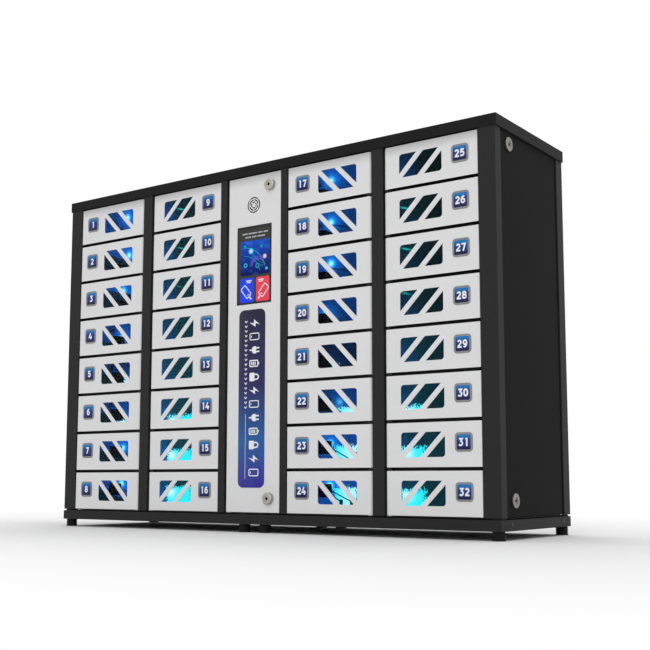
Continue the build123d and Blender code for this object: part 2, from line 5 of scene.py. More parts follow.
import bmesh
import bpy
import numpy as np
from bpy.props import FloatProperty, FloatVectorProperty, IntProperty, PointerProperty
from mathutils import Euler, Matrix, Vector


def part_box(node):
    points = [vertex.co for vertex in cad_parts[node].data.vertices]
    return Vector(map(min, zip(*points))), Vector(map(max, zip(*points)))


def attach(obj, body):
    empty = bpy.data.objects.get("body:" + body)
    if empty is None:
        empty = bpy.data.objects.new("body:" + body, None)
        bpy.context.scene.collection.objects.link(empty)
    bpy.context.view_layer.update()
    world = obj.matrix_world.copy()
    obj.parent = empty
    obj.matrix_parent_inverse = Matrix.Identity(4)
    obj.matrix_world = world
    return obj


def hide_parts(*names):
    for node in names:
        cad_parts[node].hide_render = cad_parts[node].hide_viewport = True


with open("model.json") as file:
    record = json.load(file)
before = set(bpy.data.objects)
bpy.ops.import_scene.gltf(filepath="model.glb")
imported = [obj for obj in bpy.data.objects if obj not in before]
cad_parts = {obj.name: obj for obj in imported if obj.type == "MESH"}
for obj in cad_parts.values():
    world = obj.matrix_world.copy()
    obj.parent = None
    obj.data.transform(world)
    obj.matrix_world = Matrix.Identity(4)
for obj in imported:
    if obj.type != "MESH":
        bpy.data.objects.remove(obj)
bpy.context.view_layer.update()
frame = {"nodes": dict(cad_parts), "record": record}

bl_info = {
    "name": "Charging Locker",
    "version": (1, 1, 0),
    "blender": (4, 5, 0),
    "location": "View3D > Sidebar > Locker",
    "description": "Dresses a phone charging locker with its finishes, badges, screen, banner and lights",
    "category": "Add Mesh",
}

MM = 0.001

# Places that the frame gives
BODY_OF = {
    node: body for body, nodes in frame["record"]["behaviour"]["bodies"].items() for node in nodes
}
DOORS = sorted(name for name in frame["nodes"] if name.startswith("door_") and name[5:].isdigit())
ROWS = 8
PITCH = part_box("door_01")[0].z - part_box("door_02")[0].z
ROW_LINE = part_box("door_08")[0].z - (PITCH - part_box("door_08")[1].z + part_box("door_08")[0].z) / 2
FACE_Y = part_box("door_01")[0].y
LEAVES_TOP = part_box("door_01")[1].z
SIDE_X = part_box("frame_posts")[1].x

# The doors' sheet, how far the side panels lie behind the posts, and the lock heads' width and rounding
SHEET = 1.5 * MM
PANEL_RECESS = 2 * MM
FRONT_HEAD, FRONT_HEAD_ROUND = 30 * MM, 2.6 * MM
SIDE_HEAD, SIDE_HEAD_ROUND = 33 * MM, 1 * MM

# Faces of a solid that are this near to a place count as lying at it
CLOSE = 0.1 * MM

# Left walls of the third and the fourth column, and the step from the first two columns to those
WALL_INSET = 0.009
FIRST_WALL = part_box("door_17")[0].x + WALL_INSET
SECOND_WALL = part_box("door_25")[0].x + WALL_INSET
COLUMN_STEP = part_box("door_25")[0].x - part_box("door_09")[0].x

# How the windows are seen from the front right. For each column: how far in front of the origin the wall
# is met at the window's left edge, the depth of wall seen, and the run across for each metre of depth.
WALL_VIEWS = ((0.104, 0.115, 1.0), (0.146, 0.127, 0.94), (0.066, 0.180, 0.71), (0.125, 0.210, 0.58))
SIGHT_RISE = 0.415
WINDOW_TOP = 0.763
WINDOW_SHARE = 0.545


# Sizes and colours that a user would change
def length(name, text, value):
    return FloatProperty(name=name, description=text, default=value, unit="LENGTH")


def tint(name, text, value):
    return FloatVectorProperty(name=name, description=text, subtype="COLOR", default=value)


class LockerSizes(bpy.types.PropertyGroup):
    badge_width: length("Badge width", "Width of a number badge", 0.0445)
    badge_height: length("Badge height", "Height of a number badge", 0.043)
    badge_corner: length("Badge corner", "Corner radius of a badge", 0.0085)
    badge_margin: length("Badge margin", "From a door's free edge to its badge's middle", 0.045)
    badge_rise: length("Badge rise", "Height of a badge's middle above its door's middle", 0.004)
    badge_border: length("Badge border", "Width of a badge's grey rim", 0.0047)
    badge_depth: length("Badge depth", "How far a badge stands out", 0.0014)
    numeral_height: length("Numeral height", "Height of the numbers", 0.0182)
    edge_round: length("Edge round", "Rounding of sheet edges", 0.0006)
    window_corner: length("Window corner", "Rounding of the window's corners", 0.003)
    grain_size: length("Grain size", "Powder coat grain", 0.0009)
    banner_width: length("Banner width", "Width of the long plate under the screen", 0.0865)
    banner_height: length("Banner height", "Height of the long plate under the screen", 0.4563)
    banner_corner: length("Banner corner", "Corner radius of the long plate", 0.016)
    foot_ribs: IntProperty(name="Foot ribs", description="Ribs round a rubber foot", default=4)


class LockerColours(bpy.types.PropertyGroup):
    frame_black: tint("Frame black", "Powder coat of the cabinet", (0.0190, 0.0190, 0.0194))
    lid_black: tint("Lid black", "Powder coat of the lid", (0.0075, 0.0075, 0.0077))
    panel_black: tint("Panel black", "Powder coat of the side panels", (0.0125, 0.0125, 0.0128))
    door_grey: tint("Door grey", "Powder coat of the doors", (0.768, 0.768, 0.773))
    badge_top: tint("Badge top", "Upper colour of a badge", (0.010, 0.19, 0.50))
    badge_middle: tint("Badge middle", "Middle colour of a badge", (0.010, 0.040, 0.20))
    badge_bottom: tint("Badge bottom", "Lower colour of a badge", (0.013, 0.011, 0.072))
    badge_rim: tint("Badge rim", "Rim of a badge", (0.26, 0.26, 0.262))
    # Colours of the painted compartment light
    glow_blue: tint("Glow blue", "Deep blue of the compartment light", (0.003, 0.135, 0.64))
    glow_cyan: tint("Glow cyan", "Bright core of the compartment light", (0.02, 0.90, 1.0))
    tile_blue: tint("Tile blue", "Blue button on the screen", (0.023, 0.069, 0.871))
    tile_red: tint("Tile red", "Red button on the screen", (0.855, 0.069, 0.107))


def sizes():
    return bpy.context.scene.locker_sizes


def colours():
    return bpy.context.scene.locker_colours


# Meshes from arrays
def read(items, key, width, kind=float):
    """An array with one attribute of all points, edges, faces or loops of a mesh, one row for each."""
    values = np.zeros(len(items) * width, kind)
    items.foreach_get(key, values)
    return values.reshape(-1, width)


def new_piece(name, points, faces, materials, body, face_materials=None, uv=None):
    """Makes a piece from an array of points and a list of faces, and lets it ride on a body."""
    mesh = bpy.data.meshes.new(name)
    mesh.from_pydata(np.asarray(points, float).tolist(), [], [list(map(int, face)) for face in faces])
    for material in materials:
        mesh.materials.append(material)
    if face_materials is not None:
        mesh.polygons.foreach_set("material_index", np.asarray(face_materials, np.int32))
    if uv is not None:
        loops = read(mesh.loops, "vertex_index", 1, np.int32)
        layer = mesh.uv_layers.new(name="UVMap")
        layer.data.foreach_set("uv", np.asarray(uv, float)[loops].ravel())
    mesh.validate()
    return link_piece(name, mesh, body)


def link_piece(name, mesh, body):
    """Puts a finished mesh into the scene as a piece, smooth except over edges sharper than 35 degrees."""
    mesh.polygons.foreach_set("use_smooth", np.ones(len(mesh.polygons), bool))
    mesh.set_sharp_from_angle(angle=math.radians(35))
    piece = bpy.data.objects.new(name, mesh)
    bpy.context.scene.collection.objects.link(piece)
    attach(piece, body)
    return piece


def grid_faces(rows, columns):
    """Quads between neighbours of a grid of points, row by row, where the last column meets the first."""
    row, column = np.meshgrid(np.arange(rows - 1), np.arange(columns), indexing="ij")
    after = (column + 1) % columns
    low, high = row * columns, (row + 1) * columns
    return np.stack([low + column, low + after, high + after, high + column], -1).reshape(-1, 4).tolist()


def capped_rings(rings):
    """Faces of a stack of closed rings with equal counts, with both ends capped."""
    count, steps = len(rings), len(rings[0])
    first, last = list(range(steps)), list(range(steps * (count - 1), steps * count))
    return grid_faces(count, steps) + [first[::-1], last]


def rounded_outline(width, height, radius, steps=6):
    """Rounded rectangle: four quarter circles of steps + 1 points each, centred in from each corner."""
    angle = np.linspace(0, math.pi / 2, steps + 1)
    quarter = np.stack([np.cos(angle), np.sin(angle)], -1) * radius
    turns = np.arange(4) * math.pi / 2
    spin = np.array([[np.cos(turns), -np.sin(turns)], [np.sin(turns), np.cos(turns)]]).transpose(2, 0, 1)
    arcs = np.einsum("tij,nj->tni", spin, quarter)
    corner = np.array([width / 2 - radius, height / 2 - radius])
    centre = np.array([[1, 1], [-1, 1], [-1, -1], [1, -1]]) * corner
    return (arcs + centre[:, None]).reshape(-1, 2)


def arc(x, z, width, height, start, end, steps=16):
    """Points along an ellipse with the given half width and half height, between two angles in degrees."""
    angle = np.radians(np.linspace(start, end, steps + 1))
    return np.stack([x + width * np.cos(angle), z + height * np.sin(angle)], -1)


def plate_surface(width, height, radius, profile):
    """A plate as rings of a rounded rectangle: ring k is drawn in by profile[k][0] and stands out by
    profile[k][1]. Gives points (x, out, z), and faces with both ends capped."""
    rings = []
    for inset, out in profile:
        outline = rounded_outline(width - 2 * inset, height - 2 * inset, max(radius - inset, 0.1 * radius))
        rings.append(np.insert(outline, 1, out, 1))
    return np.concatenate(rings), capped_rings(rings)


def flat_shape(outline, depth=0.00005):
    """A thin flat shape from an outline of (x, z) points that runs anticlockwise."""
    outline = np.asarray(outline, float)
    rings = [np.insert(outline, 1, out, 1) for out in (0, 2 * depth)]
    return np.concatenate(rings), capped_rings(rings)


def stroke(path, width):
    """A flat line of a width along a path of (x, z) points. Each point is moved by half the width along
    the mean normal of its two runs to one side and to the other, which gives the outline of the line."""
    path = np.asarray(path, float)
    run = np.diff(path, axis=0)
    run /= np.linalg.norm(run, axis=1)[:, None]
    before, after = np.concatenate([run[:1], run]), np.concatenate([run, run[-1:]])
    mean = before + after
    mean /= np.linalg.norm(mean, axis=1)[:, None]
    stretch = 1 / np.clip(np.sum(mean * after, 1), 0.35, 1)
    normal = np.stack([-mean[:, 1], mean[:, 0]], -1) * stretch[:, None] * width / 2
    return flat_shape(np.concatenate([path - normal, (path + normal)[::-1]]))


def loop_stroke(outline, width):
    """A flat closed line of a width along an outline, as an outer and an inner ring in two layers."""
    outline = np.asarray(outline, float)
    run = np.roll(outline, -1, axis=0) - np.roll(outline, 1, axis=0)
    run /= np.linalg.norm(run, axis=1)[:, None]
    normal = np.stack([run[:, 1], -run[:, 0]], -1) * width / 2
    outer, inner = outline + normal, outline - normal
    layers = ((inner, 0), (outer, 0), (outer, 1e-4), (inner, 1e-4), (inner, 0))
    rings = [np.insert(edge, 1, out, 1) for edge, out in layers]
    return np.concatenate(rings), grid_faces(len(rings), len(outline))


def turned_surface(profile, steps=40):
    """Turns a profile of (radius, height) pairs about the axis: x = r cos a, z = r sin a, out = height."""
    circle = arc(0, 0, 1, 1, 0, 360 - 360 / steps, steps - 1)
    rings = [np.insert(circle * radius, 1, out, 1) for radius, out in profile]
    return np.concatenate(rings), capped_rings(rings)


def joined(shapes):
    """Joins several (points, faces) pairs into one."""
    points, faces, start = [], [], 0
    for part_points, part_faces in shapes:
        points.append(part_points)
        faces += [[i + start for i in face] for face in part_faces]
        start += len(part_points)
    return np.concatenate(points), faces


def moved(shape, x=0.0, z=0.0, out=0.0, size=1.0, turn=0.0):
    """A shape scaled in its plane, turned by degrees and moved."""
    points, faces = shape
    c, s = math.cos(math.radians(turn)), math.sin(math.radians(turn))
    flat = points[:, [0, 2]] * size @ np.array([[c, s], [-s, c]])
    return np.stack([flat[:, 0] + x, points[:, 1] + out, flat[:, 1] + z], -1), faces


def on_front(points):
    """Points (x, out, z) set on the doors' front, which faces -Y."""
    return np.stack([points[:, 0], FACE_Y - points[:, 1], points[:, 2]], -1)


def printed(name, shapes, body):
    """Joins flat shapes, each as (shape, finish name), into one print on the doors' front. The UVs run
    from 0 to 1 over each shape."""
    names = list(dict.fromkeys(label for _, label in shapes))
    points, faces = joined([shape for shape, _ in shapes])
    marks, uv = [], []
    for (shape_points, shape_faces), label in shapes:
        flat = shape_points[:, [0, 2]]
        uv.append((flat - flat.min(0)) / np.ptp(flat, axis=0))
        marks += [names.index(label)] * len(shape_faces)
    materials = [finish(label) for label in names]
    return new_piece(name, on_front(points), faces, materials, body, marks, np.concatenate(uv))


# Numerals and signs, as strokes in a box of height 1
DIGIT_STROKE = 0.215
DIGITS = {
    "0": [arc(0, 0, 0.24, 0.40, 0, 360, 28)],
    "1": [[(-0.15, 0.40), (0.05, 0.40), (0.05, -0.5)]],
    "2": [
        np.concatenate([arc(0, 0.17, 0.21, 0.23, 165, -25), [(-0.19, -0.33)]]),
        [(-0.29, -0.40), (0.31, -0.40)],
    ],
    "3": [
        np.concatenate([[(-0.25, 0.40), (0.19, 0.40), (0, 0.12)], arc(-0.03, -0.15, 0.24, 0.25, 70, -150)]),
    ],
    "4": [[(0.06, 0.5), (-0.24, -0.19), (0.37, -0.19)], [(0.14, 0.08), (0.14, -0.5)]],
    "5": [
        np.concatenate([
            [(0.25, 0.40), (-0.16, 0.40), (-0.19, 0.06)], arc(-0.03, -0.14, 0.24, 0.26, 105, -150),
        ]),
    ],
    "6": [arc(0, -0.15, 0.22, 0.25, 0, 360, 24), arc(0.06, -0.13, 0.28, 0.53, 62, 180)],
    "7": [[(-0.28, 0.40), (0.22, 0.40), (-0.07, -0.5)]],
    "8": [arc(0, 0.21, 0.19, 0.19, 0, 360, 24), arc(0, -0.19, 0.23, 0.21, 0, 360, 24)],
    "9": [arc(0, 0.15, 0.22, 0.25, 0, 360, 24), arc(-0.06, 0.13, 0.28, 0.53, 242, 360)],
}
DIGIT_ADVANCE = 0.77


def numeral(text, height):
    """A number in bold strokes, with its digits side by side about the middle."""
    shapes = []
    for order, digit in enumerate(text):
        x = (order - (len(text) - 1) / 2) * DIGIT_ADVANCE * height
        for layer, path in enumerate(DIGITS[digit]):
            shape = stroke(path, DIGIT_STROKE)
            shapes.append(moved(shape, x, out=layer * 0.00003, size=height))
    return joined(shapes)


def bolt_sign():
    """A bolt: one flat outline of six corners."""
    corners = [(-0.30, -0.06), (0.02, -0.06), (-0.08, -0.5), (0.30, 0.10), (0.0, 0.10), (0.12, 0.5)]
    return [flat_shape(corners)]


def phone_sign():
    """A telephone: a rounded closed line with a short bar near its foot."""
    screen = rounded_outline(0.50, 0.90, 0.10)
    return [loop_stroke(screen, 0.075), stroke([(-0.08, -0.30), (0.08, -0.30)], 0.07)]


def plug_sign():
    """A plug: half an ellipse under a straight edge, with two prongs above and a lead below."""
    body = np.concatenate([[(0.28, 0.18), (-0.28, 0.18)], arc(0, 0.0, 0.28, 0.26, 180, 360)])
    prongs = [stroke([(x, 0.16), (x, 0.5)], 0.11) for x in (-0.14, 0.14)]
    return [flat_shape(body), *prongs, stroke([(0, -0.22), (0, -0.5)], 0.10)]


def battery_sign():
    """A battery: a rounded closed line with a cap above it and three bars inside."""
    case = rounded_outline(0.46, 0.80, 0.08)
    bars = [stroke([(-0.13, z), (0.13, z)], 0.11) for z in (-0.25, -0.08, 0.09)]
    return [moved(loop_stroke(case, 0.09), z=-0.05), stroke([(-0.09, 0.43), (0.09, 0.43)], 0.12), *bars]


def lock_sign():
    """A padlock: a rounded body, and a shackle of two short sides and half an ellipse."""
    body = rounded_outline(0.66, 0.50, 0.08)
    shackle = np.concatenate([[(0.19, 0.0)], arc(0, 0.20, 0.19, 0.22, 0, 180), [(-0.19, 0.0)]])
    return [moved(flat_shape(body), z=-0.22), stroke(shackle, 0.11)]


# Copies of CAD nodes, merged so that their edges can be rounded
@contextmanager
def opened(mesh):
    """Opens a mesh for work on its faces and edges, and writes it back."""
    work = bmesh.new()
    work.from_mesh(mesh)
    work.faces.ensure_lookup_table()
    yield work
    work.to_mesh(mesh)
    work.free()


def loose_parts(mesh):
    """Number of the connected part that each face belongs to, and the count of parts. Each face starts as
    its own part, and the lower number spreads over shared edges until nothing changes."""
    with opened(mesh) as work:
        pairs = [[face.index for face in edge.link_faces] for edge in work.edges if len(edge.link_faces) == 2]
    pairs = np.array(pairs)
    part = np.arange(len(mesh.polygons))
    before = None
    while not np.array_equal(part, before):
        before = part.copy()
        lower = part[pairs].min(1)
        np.minimum.at(part, pairs[:, 0], lower)
        np.minimum.at(part, pairs[:, 1], lower)
        part = part[part]
    _, part = np.unique(part, return_inverse=True)
    return part, part.max() + 1


def cad_copy(node):
    """A copy of a CAD node's mesh without its finishes and normals."""
    mesh = frame["nodes"][node].data.copy()
    mesh.materials.clear()
    for layer in list(mesh.attributes):
        if layer.name in {"custom_normal", "UVMap"}:
            mesh.attributes.remove(layer)
    return mesh


def merged(mesh):
    """Merges a mesh's doubles and joins its flat faces."""
    with opened(mesh) as work:
        bmesh.ops.remove_doubles(work, verts=work.verts, dist=2e-6)
        bmesh.ops.dissolve_limit(work, angle_limit=math.radians(1), verts=work.verts, edges=work.edges)
    return mesh


def with_faces(mesh, keep):
    """A copy of a mesh with only the faces that keep marks."""
    part = mesh.copy()
    with opened(part) as work:
        bmesh.ops.delete(work, geom=[work.faces[i] for i in np.flatnonzero(~keep)], context="FACES")
    return part


def face_centres(mesh):
    """Middle of each face."""
    return read(mesh.polygons, "center", 3)


def round_edges(piece, width, steps=2, limit="ANGLE"):
    """Rounds a piece's sharp edges, or those that its weights mark, by a small width."""
    bevel = piece.modifiers.new("edge", "BEVEL")
    bevel.width, bevel.segments, bevel.limit_method = width, steps, limit
    bevel.angle_limit = math.radians(40)
    bevel.harden_normals = True
    return piece


def stand_in(node, part, mesh, labels, marks=None):
    """A piece that stands for a CAD node or a part of it. The marks say which finish each face takes."""
    for label in labels:
        mesh.materials.append(finish(label))
    if marks is not None:
        mesh.polygons.foreach_set("material_index", marks.astype(np.int32))
    piece = link_piece(f"{node}_{part}", mesh, BODY_OF[node])
    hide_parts(node)
    return piece


def dressed(node, label, edge=None):
    """A merged copy of a CAD node with rounded edges and a finish, which stands for the node."""
    piece = stand_in(node, "finish", merged(cad_copy(node)), [label])
    return round_edges(piece, edge or sizes().edge_round)


def finish_node(node, label):
    """Gives a CAD node that stays a material."""
    mesh = frame["nodes"][node].data
    mesh.materials.clear()
    mesh.materials.append(finish(label))


# Shader helpers
def add_node(tree, kind, **settings):
    node = tree.nodes.new(kind)
    for key, value in settings.items():
        setattr(node, key, value)
    return node


def wire(value, socket):
    """Links a value to an input, or writes a plain number or triple into it."""
    if isinstance(value, Value):
        socket.id_data.links.new(value.socket, socket)
    else:
        socket.default_value = (*value, 1) if socket.type == "RGBA" else value


def put(node, inputs):
    """Wires several inputs of a node, given by their names."""
    for name, value in inputs.items():
        wire(value, node.inputs[name])


def math_method(operation, swapped=False):
    """A method that makes a math node on a value and what it is joined with, if anything."""
    def method(self, *others):
        node = add_node(self.tree, "ShaderNodeMath", operation=operation)
        for socket, value in zip(node.inputs, (*others, self) if swapped else (self, *others)):
            wire(value, socket)
        return Value(node.outputs[0])
    return method


class Value:
    """What a shader socket gives out, to be written in a formula like a number."""

    def __init__(self, socket):
        self.socket, self.tree = socket, socket.id_data

    __add__ = math_method("ADD")
    __sub__ = math_method("SUBTRACT")
    __rsub__ = math_method("SUBTRACT", swapped=True)
    __mul__ = math_method("MULTIPLY")
    __truediv__ = math_method("DIVIDE")
    above = math_method("GREATER_THAN")
    below = math_method("LESS_THAN")
    at_least = math_method("MAXIMUM")
    at_most = math_method("MINIMUM")
    floor = math_method("FLOOR")
    fraction = math_method("FRACT")
    exponential = math_method("EXPONENT")
    sine = math_method("SINE")


def vector_math(operation, *values):
    """A vector math node on values or triples, of which the first is a value."""
    node = add_node(values[0].tree, "ShaderNodeVectorMath", operation=operation)
    for socket, value in zip(node.inputs, values):
        wire(value, socket)
    return Value(node.outputs["Value" if operation == "LENGTH" else "Vector"])


def scaled(colour, amount):
    """A colour times a value."""
    node = add_node(amount.tree, "ShaderNodeVectorMath", operation="SCALE")
    wire(colour, node.inputs[0])
    wire(amount, node.inputs["Scale"])
    return Value(node.outputs[0])


def mixed(*parts):
    """Sum of colours, each times its own value."""
    total = None
    for amount, colour in parts:
        part = scaled(tuple(colour), amount)
        total = vector_math("ADD", total, part) if total else part
    return total


def split(value):
    """The three parts of a vector or colour."""
    node = add_node(value.tree, "ShaderNodeSeparateXYZ")
    wire(value, node.inputs[0])
    return [Value(socket) for socket in node.outputs]


def place_on(tree, kind="Object"):
    """Place on the piece that is shaded."""
    return Value(add_node(tree, "ShaderNodeTexCoord").outputs[kind])


def eased(value, low, high):
    """Eases from 0 at one value to 1 at another."""
    node = add_node(value.tree, "ShaderNodeMapRange", interpolation_type="SMOOTHSTEP")
    put(node, {"Value": value, "From Min": low, "From Max": high})
    return Value(node.outputs["Result"])


def noise(place, scale, detail=2.0, stretch=(1, 1, 1)):
    """Noise over a place, with the place stretched first."""
    node = add_node(place.tree, "ShaderNodeTexNoise")
    put(node, {"Detail": detail, "Scale": scale, "Vector": vector_math("MULTIPLY", place, stretch)})
    return Value(node.outputs["Fac"])


# Numbers, colours as triples, and vectors, as sockets of a node group
SOCKET_KINDS = {float: "NodeSocketFloat", tuple: "NodeSocketColor", Vector: "NodeSocketVector"}


def new_group(name, inputs, outputs):
    """A shader node group with inputs, given by their first values, and outputs, given by their kinds. Gives
    its tree, the values of its inputs and its result."""
    tree = bpy.data.node_groups.new(name, "ShaderNodeTree")
    for label, value in inputs.items():
        socket = tree.interface.new_socket(label, in_out="INPUT", socket_type=SOCKET_KINDS[type(value)])
        socket.default_value = (*value, 1) if isinstance(value, tuple) else value
    for label, kind in outputs.items():
        tree.interface.new_socket(label, in_out="OUTPUT", socket_type=SOCKET_KINDS[kind])
    given = add_node(tree, "NodeGroupInput").outputs
    return tree, [Value(given[label]) for label in inputs], add_node(tree, "NodeGroupOutput")


def use_group(tree, name, inputs):
    """Places a node group in a material with the inputs' values, and gives its outputs."""
    node = add_node(tree, "ShaderNodeGroup", node_tree=bpy.data.node_groups[name])
    put(node, inputs)
    return [Value(socket) for socket in node.outputs]


def coat_group():
    """Powder coat: fine grain for bump, and slow drifts of tone and gloss over the sheet."""
    tree, (colour, scale, drift, gloss, gloss_drift), result = new_group(
        "Powder coat",
        {"Color": (0.5, 0.5, 0.5), "Grain scale": 900.0, "Drift": 0.05, "Gloss": 0.45, "Gloss drift": 0.08},
        {"Color": tuple, "Roughness": float, "Height": float},
    )
    place = place_on(tree)
    wave = noise(place, 6.0, 4.0) - 0.5
    tone, roughness = scaled(colour, wave * drift + 1.0), wave * gloss_drift + gloss
    put(result, {"Color": tone, "Roughness": roughness, "Height": noise(place, scale)})


def ink_group():
    """Ink: a faint grain in its tone and gloss."""
    tree, (colour, gloss), result = new_group(
        "Ink", {"Color": (0.5, 0.5, 0.5), "Gloss": 0.4}, {"Color": tuple, "Roughness": float}
    )
    grain = noise(place_on(tree), 700.0)
    put(result, {"Color": scaled(colour, grain * 0.08 + 0.96), "Roughness": grain * 0.2 + gloss - 0.1})


def lines_group():
    """Fine lines or grain in metal: noise drives the gloss, and is given out for bump. Where the stretch is
    less along one axis, the noise runs along it as lines."""
    tree, (stretch, gloss), result = new_group(
        "Fine lines", {"Stretch": Vector((100, 100, 3)), "Gloss": 0.3}, {"Roughness": float, "Height": float}
    )
    lines = noise(place_on(tree), 16.0, 3.0, stretch)
    put(result, {"Roughness": lines * gloss + gloss / 2, "Height": lines})


def cloud_group():
    """Clouds on a print: a shift that makes its gradient uneven, and a mask for their own colour."""
    tree, _, result = new_group("Clouds", {}, {"Shift": float, "Mask": float})
    clouds = noise(place_on(tree, "UV"), 3.0, 4.0, (1.0, 2.0, 1.0))
    put(result, {"Shift": (clouds - 0.5) * 0.12, "Mask": eased(clouds, 0.48, 0.70)})


def spot(u, v, centre, spread):
    """A soft spot: e to the power of minus the squared distance from the centre, in units of the spread."""
    across, down = (u - centre[0]) / spread[0], (v - centre[1]) / spread[1]
    return ((across * across + down * down) * -1.0).exponential()


def stepped(number, triples):
    """Three values, each from 0 to 1, for a whole number from 0: a stepped ramp whose colours hold them."""
    ramp = add_node(number.tree, "ShaderNodeValToRGB")
    ramp.color_ramp.interpolation = "CONSTANT"
    elements = ramp.color_ramp.elements
    elements.remove(elements[1])
    for order, triple in enumerate(triples):
        element = elements.new(order / len(triples)) if order else elements[0]
        element.color = (*triple, 1)
    wire((number + 0.5) / len(triples), ramp.inputs["Fac"])
    return split(Value(ramp.outputs["Color"]))


def fleck(u, v, marks, size, slope=0.0):
    """A soft mark of a size at the marks' place (u, v), sloping down, times their third value."""
    drop = (u - marks[0]) * slope
    return spot(u, v - drop, marks, size) * marks[2]


# Painted compartment light, one triple for each row from the top, first for the left pair of columns and
# then for the right pair. Places are across and down the window, from 0 to 1.
# Rows without a mark or a patch are written as one triple times their number.
NONE, NO_PATCH = ((0, 0, 0),), ((1, 0, 0),)
BLUE_CORES = (
    (0.83, 0.33, 1), (0.90, 0.35, 1), (0.72, 0.20, 1), (0.70, 0.65, 1),
    (0.80, 0.88, 0.4), (0.75, 0.65, 0.5), (0.83, 0.35, 0.9), (0.80, 0.15, 1),
    (0.33, 0.47, 1), (0.33, 0.40, 1), (0.33, 0.29, 1), (0.20, 0.60, 0.9),
    (0.25, 0.97, 0.3), (0.55, 0.55, 0.4), (0.32, 0.36, 0.8), (0.30, 0.20, 1),
)
# Places and strengths of dark spots in the painted light
BLACK_SPOTS = (
    (0.35, 0.50, 1), *NONE, *NONE, (0.35, 0.22, 1),
    (0.35, 0.15, 1), (0.37, 0.08, 1), (0.50, 0.55, 1), (0.50, 0.50, 1),
    (0.03, 0.58, 1), (0.04, 0.50, 1), (0.12, 0.95, 1), *NONE,
    (0.12, 0.85, 1), (0.12, 0.72, 1), (0.10, 0.60, 1), (0.10, 0.58, 1),
)
# Strength of the blue, and how far down the window it reaches on the left and beyond that on the right
BLUE_WASH = (
    (0.60, 1, 1), (0.80, 0.10, 0.55), (0.80, 0.04, 0.38), (0.55, 0.74, 0.30),
    (0.30, 0.42, 0.60), (0.50, 0.45, 0.55), (0.70, 0.42, 0.50), (0.75, 0.40, 0.60),
    (0.50, 1, 1), (0.45, 1, 1), (0.42, 1, 1), (0.40, 0.72, 0.40),
    (0.13, 0.80, 0.20), (0.42, 1, 1), (0.75, 1, 1), (0.90, 1, 1),
)
DARK_LINES = (*NONE * 9, (0.6, 0.62, 1), (0.6, 0.62, 1), *NONE * 5)
# Bright patches: how far down they start, and from where to where they lie across
BACK_PATCHES = (
    *NO_PATCH * 4, (0.86, 0.66, 1), (0.84, 0.62, 0.95), *NO_PATCH * 2,
    *NO_PATCH * 4, (0.93, 0.2, 0.5), (0.82, 0.5, 1), (0.50, 0.46, 1), (0.34, 0.42, 1),
)
FRONT_PATCHES = (
    *NO_PATCH * 5, (0.80, 0.25, 1), (0.50, 0.24, 1), (0.30, 0.24, 1),
    *NO_PATCH * 5, (0.84, 0.04, 0.52), (0.60, 0, 0.52), (0.38, 0, 0.52),
)
STREAKS = (
    (0.53, 0.44, 1), (0.55, 0.44, 0.7), (0.50, 0.38, 0.35), (0.45, 0.10, 0.25), *NONE * 4,
    *NONE, (0.12, 0.34, 1), (0.14, 0.15, 1), (0.12, 0.08, 0.6), *NONE * 4,
)
# Strengths of the teal, of the blue at the left edge and of the darkening towards the right
TEAL_WASH = (
    (0.42, 0.75, 0.3), (0.52, 0.70, 0.3), (0.62, 0.60, 0.2), (0.70, 0.50, 0.1),
    (0.80, 0.45, 0.1), (0.85, 0.80, 0.0), (0.85, 1.00, 0.0), (0.80, 1.00, 0.0),
    (0.16, 0.40, 0.7), (0.26, 0.06, 0.7), (0.30, 0.08, 0.6), (0.36, 0.20, 0.5),
    (0.55, 0.35, 0.4), (0.60, 0.35, 0.4), (0.70, 0.30, 0.3), (0.75, 0.30, 0.3),
)
# Sizes of the marks across and down the window, and how far the edges of the light are ragged
CORE_SIZE, HALO_SIZE, SPOT_SIZE = (0.075, 0.14), (0.24, 0.40), (0.09, 0.15)
LINE_SIZE, STREAK_SIZE, BURST_SIZE = (0.33, 0.035), (0.10, 0.035), (0.13, 0.22)
LINE_SLOPE, STREAK_SLOPE = 0.38, 0.5
EDGE, WASH_EDGE = 0.015, 0.03


